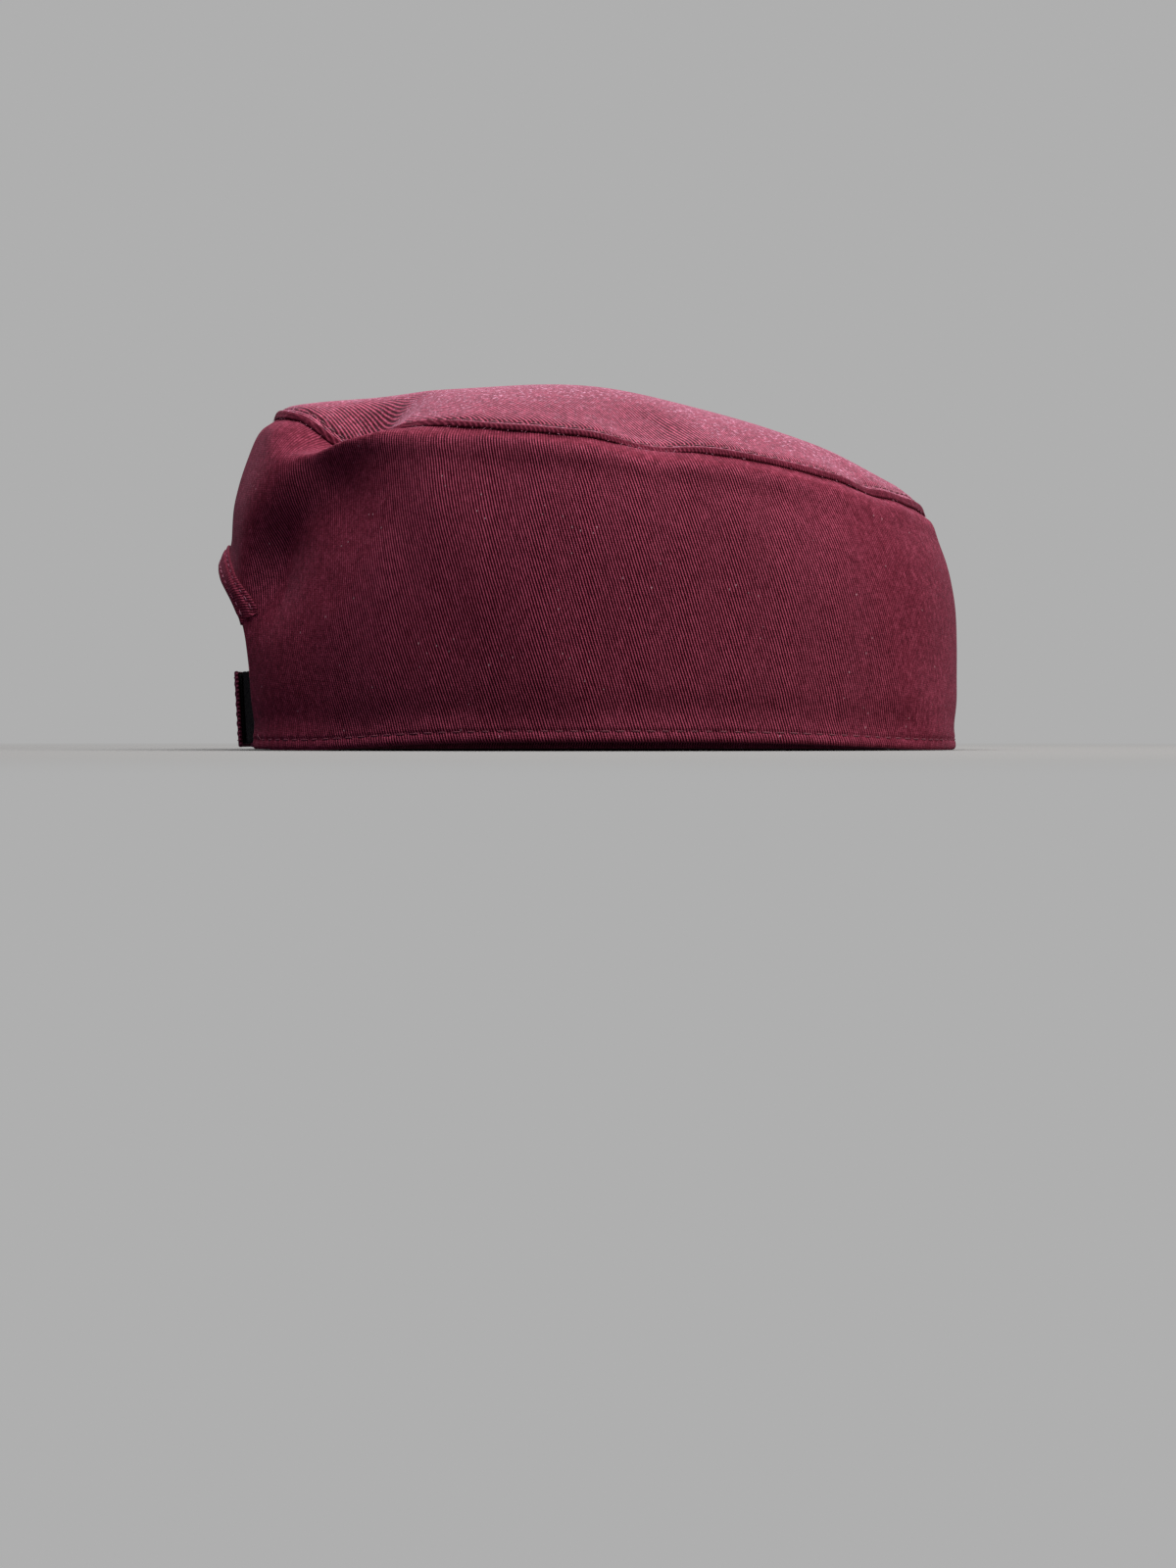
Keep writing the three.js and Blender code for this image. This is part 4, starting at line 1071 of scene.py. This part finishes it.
# dark bits sunk between the hem stitches: painted shade of the needle holes
keep(line_stitches("hem_stitch_hole_painted_shade", P, N_, HEM_STITCH_PITCH, 1.0, 0.30, m_hole_painted_shade, lift=-0.17, between=1.0), "wall_twill")

# crown stitches, inside the folded edge
cd = np.linspace(-180, 180, 2400)
qq = np.radians(cd)
sqq = 1 + SQUARENESS * np.sin(2 * qq) ** 2
lng = np.hypot(np.where(np.cos(qq) >= 0, CROWN_FRONT, CROWN_BACK) * np.cos(qq) * sqq, CROWN_SIDE * np.sin(qq) * sqq)
rr = 1 - CROWN_STITCH_AT / lng
P, N_ = dome(cd, rr), dome_normal(cd, rr, fine=False)
keep(line_stitches("crown_stitches", P, N_, CROWN_STITCH_PITCH, 2.9, 0.26, m_thread, lift=0.14, seed=5), "crown_twill")
# dark bits sunk between the crown stitches: painted shade of the needle holes
keep(line_stitches("crown_stitch_hole_painted_shade", P, N_, CROWN_STITCH_PITCH, 0.9, 0.30, m_hole_painted_shade, lift=-0.10, seed=5, between=1.0), "crown_twill")

# loose fibre ends that stand out under the fold of the crown
rng = np.random.default_rng(29)
fd = rng.uniform(-180, 180, 150)
fp, fn, fdown = seam_frame(fd)
side_way = unit(np.cross(fdown, fn))
fdir = fdown + side_way * rng.uniform(-0.9, 0.9, len(fd))[:, None] + fn * rng.uniform(-0.2, 0.5, len(fd))[:, None]
keep(stitches("crown_seam_fibres", fp + fdown * (WELT_LAP * 0.9) + fn * 0.35, fdir, fn, rng.uniform(0.7, 1.7, len(fd)), 0.085, m_pale, 0.0), "crown_twill")

# two rows on the binding
ba = np.linspace(BIND_END + 2.0, 180 - BIND_END - 2.0, 400)
for name, d, off, seed in (("binding_stitches_edge", 1.5, 0.12 + BIND_THICK * 0.74, 7), ("binding_stitches_inner", BIND_OUT - 0.95, 0.12 + BIND_THICK * 0.78, 8)):
    base, nrm = bind_base(ba, np.full_like(ba, d))
    keep(line_stitches(name, base + nrm * off, nrm, 3.3, 2.3, 0.2, m_pale, lift=0.07, seed=seed), "binding_twill")

# stitches round the free end of the strap and of the tab's root
def strap_row(name, ya, yb, za, zb, deep, seed, outer=True):
    k = 200
    ys, zs = np.linspace(ya, yb, k), np.linspace(za, zb, k)
    p, n = strap_frame(ys, zs, deep(ys))
    return line_stitches(name, p, n, 3.0, 2.2, 0.19, m_thread, lift=0.05, seed=seed)
keep(strap_row("strap_stitches_low", -9.5, 27, STRAP_LOW + 2.0, STRAP_LOW + 2.0, dive, 21), "strap_twill")
keep(strap_row("strap_stitches_high", -9.5, 27, HIGH - 2.0, HIGH - 2.0, dive, 22), "strap_twill")
keep(strap_row("strap_stitches_end", -9.5, -9.5, STRAP_LOW + 2.5, HIGH - 2.5, dive, 23), "strap_twill")


# ---------------------------------------------------------------- stage
def stage_mat(name, col):
    mat = bpy.data.materials.new(name)
    nt = nodes_of(mat)
    b = nt.nodes.new("ShaderNodeBsdfPrincipled")
    b.inputs["Base Color"].default_value = (*col, 1)
    b.inputs["Roughness"].default_value = 0.95
    b.inputs["Specular IOR Level"].default_value = 0.0
    o = nt.nodes.new("ShaderNodeOutputMaterial")
    nt.links.new(b.outputs[0], o.inputs[0])
    return mat


GREY = 0.429


def studio_floor(name, shade):
    """Matt paper that passes into evenly lit paper away from the object."""
    mat = bpy.data.materials.new(name)
    nt = nodes_of(mat)
    N, L = nt.nodes, nt.links
    tex = N.new("ShaderNodeTexCoord")
    ln = N.new("ShaderNodeVectorMath")
    ln.operation = "LENGTH"
    L.new(tex.outputs["Object"], ln.inputs[0])
    rng_ = N.new("ShaderNodeMapRange")
    rng_.interpolation_type = "SMOOTHERSTEP"
    rng_.inputs["From Min"].default_value = 0.16
    rng_.inputs["From Max"].default_value = 0.75
    L.new(ln.outputs["Value"], rng_.inputs["Value"])
    d = N.new("ShaderNodeBsdfDiffuse")
    d.inputs["Color"].default_value = (shade, shade, shade, 1)
    e = N.new("ShaderNodeEmission")
    e.inputs["Color"].default_value = (GREY, GREY, GREY, 1)
    m = N.new("ShaderNodeMixShader")
    L.new(rng_.outputs["Result"], m.inputs[0])
    L.new(d.outputs[0], m.inputs[1])
    L.new(e.outputs[0], m.inputs[2])
    o = N.new("ShaderNodeOutputMaterial")
    L.new(m.outputs[0], o.inputs[0])
    return mat


def studio():
    """A paper floor, and an evenly lit paper wall behind it."""
    g = Grid()
    ids = g.points(np.array([[[x, y, 0.0] for x in (-6000.0, 6000.0)] for y in (-4000.0, 3600.0)]), np.zeros(2))
    g.quads(ids[:, ::-1])
    fl = make("studio_floor", np.concatenate(g.v), np.concatenate(g.f), None, mats=[studio_floor("floor_paper", FLOOR_SHADE)])
    g = Grid()
    ring = np.array([(6000.0, 3600.0), (-6000.0, 3600.0), (-6000.0, -4000.0), (6000.0, -4000.0)])
    ids = g.points(np.array([[[x, y, z] for x, y in ring] for z in (0.0, 6000.0)]), np.zeros(2))
    g.quads(ids, close_cols=True)
    mat = bpy.data.materials.new("backdrop_paper")
    nt = nodes_of(mat)
    e = nt.nodes.new("ShaderNodeEmission")
    e.inputs["Color"].default_value = (GREY, GREY, GREY, 1)
    o = nt.nodes.new("ShaderNodeOutputMaterial")
    nt.links.new(e.outputs[0], o.inputs[0])
    bd = make("studio_backdrop", np.concatenate(g.v), np.concatenate(g.f), None, mats=[mat])
    # the paper is lit for itself and throws no light back on the cloth
    for ob in (fl, bd):
        ob.visible_diffuse = ob.visible_glossy = ob.visible_transmission = ob.visible_shadow = False


FLOOR_SHADE = 0.186
studio()

sc = bpy.context.scene
sc.view_settings.view_transform = "Standard"
sc.view_settings.look = "None"
sc.view_settings.exposure = 0.0
sc.view_settings.gamma = 1.0

world = bpy.data.worlds.new("studio_world")
sc.world = world
world.use_nodes = True
bg = world.node_tree.nodes["Background"]
bg.inputs[0].default_value = (0.90, 0.92, 1.0, 1)
bg.inputs[1].default_value = 0.08


def area(name, loc, aim, size, power, color=(1, 1, 1)):
    li = bpy.data.lights.new(name, "AREA")
    li.shape = "RECTANGLE"
    li.size, li.size_y = size
    li.energy = power
    li.color = color
    ob = bpy.data.objects.new(name, li)
    sc.collection.objects.link(ob)
    from mathutils import Vector
    ob.location = loc
    ob.rotation_euler = (Vector(aim) - Vector(loc)).to_track_quat("-Z", "Y").to_euler()
    return ob


area("overhead", (0.16, -0.06, 1.45), (0.0, 0, 0.05), (1.5, 1.5), 60.0, (1.0, 0.985, 0.97))
area("front_fill", (1.8, -0.80, 0.55), (0.05, 0, 0.05), (0.9, 0.9), 24.0, (1.0, 0.92, 0.84))
area("camera_fill", (0.3, -2.2, 0.9), (0, 0, 0.06), (1.6, 1.2), 3.0, (1.0, 0.97, 0.95))
area("back_fill", (-1.6, -0.6, 0.12), (-0.05, 0, 0.05), (0.9, 0.5), 2.1, (0.78, 0.45, 1.0))

cam_data = bpy.data.cameras.new("camera")
cam = bpy.data.objects.new("camera", cam_data)
sc.collection.objects.link(cam)
cam_data.sensor_fit = "VERTICAL"
cam_data.sensor_height = 36.0
cam_data.sensor_width = 27.0
cam_data.lens = 36.0 * 4128.0 / 1600.0
cam_data.clip_start, cam_data.clip_end = 0.01, 50
cam.location = (0.0, -1.2, 0.006)
cam.rotation_euler = (math.radians(90 - 0.772), 0, 0)
sc.camera = cam
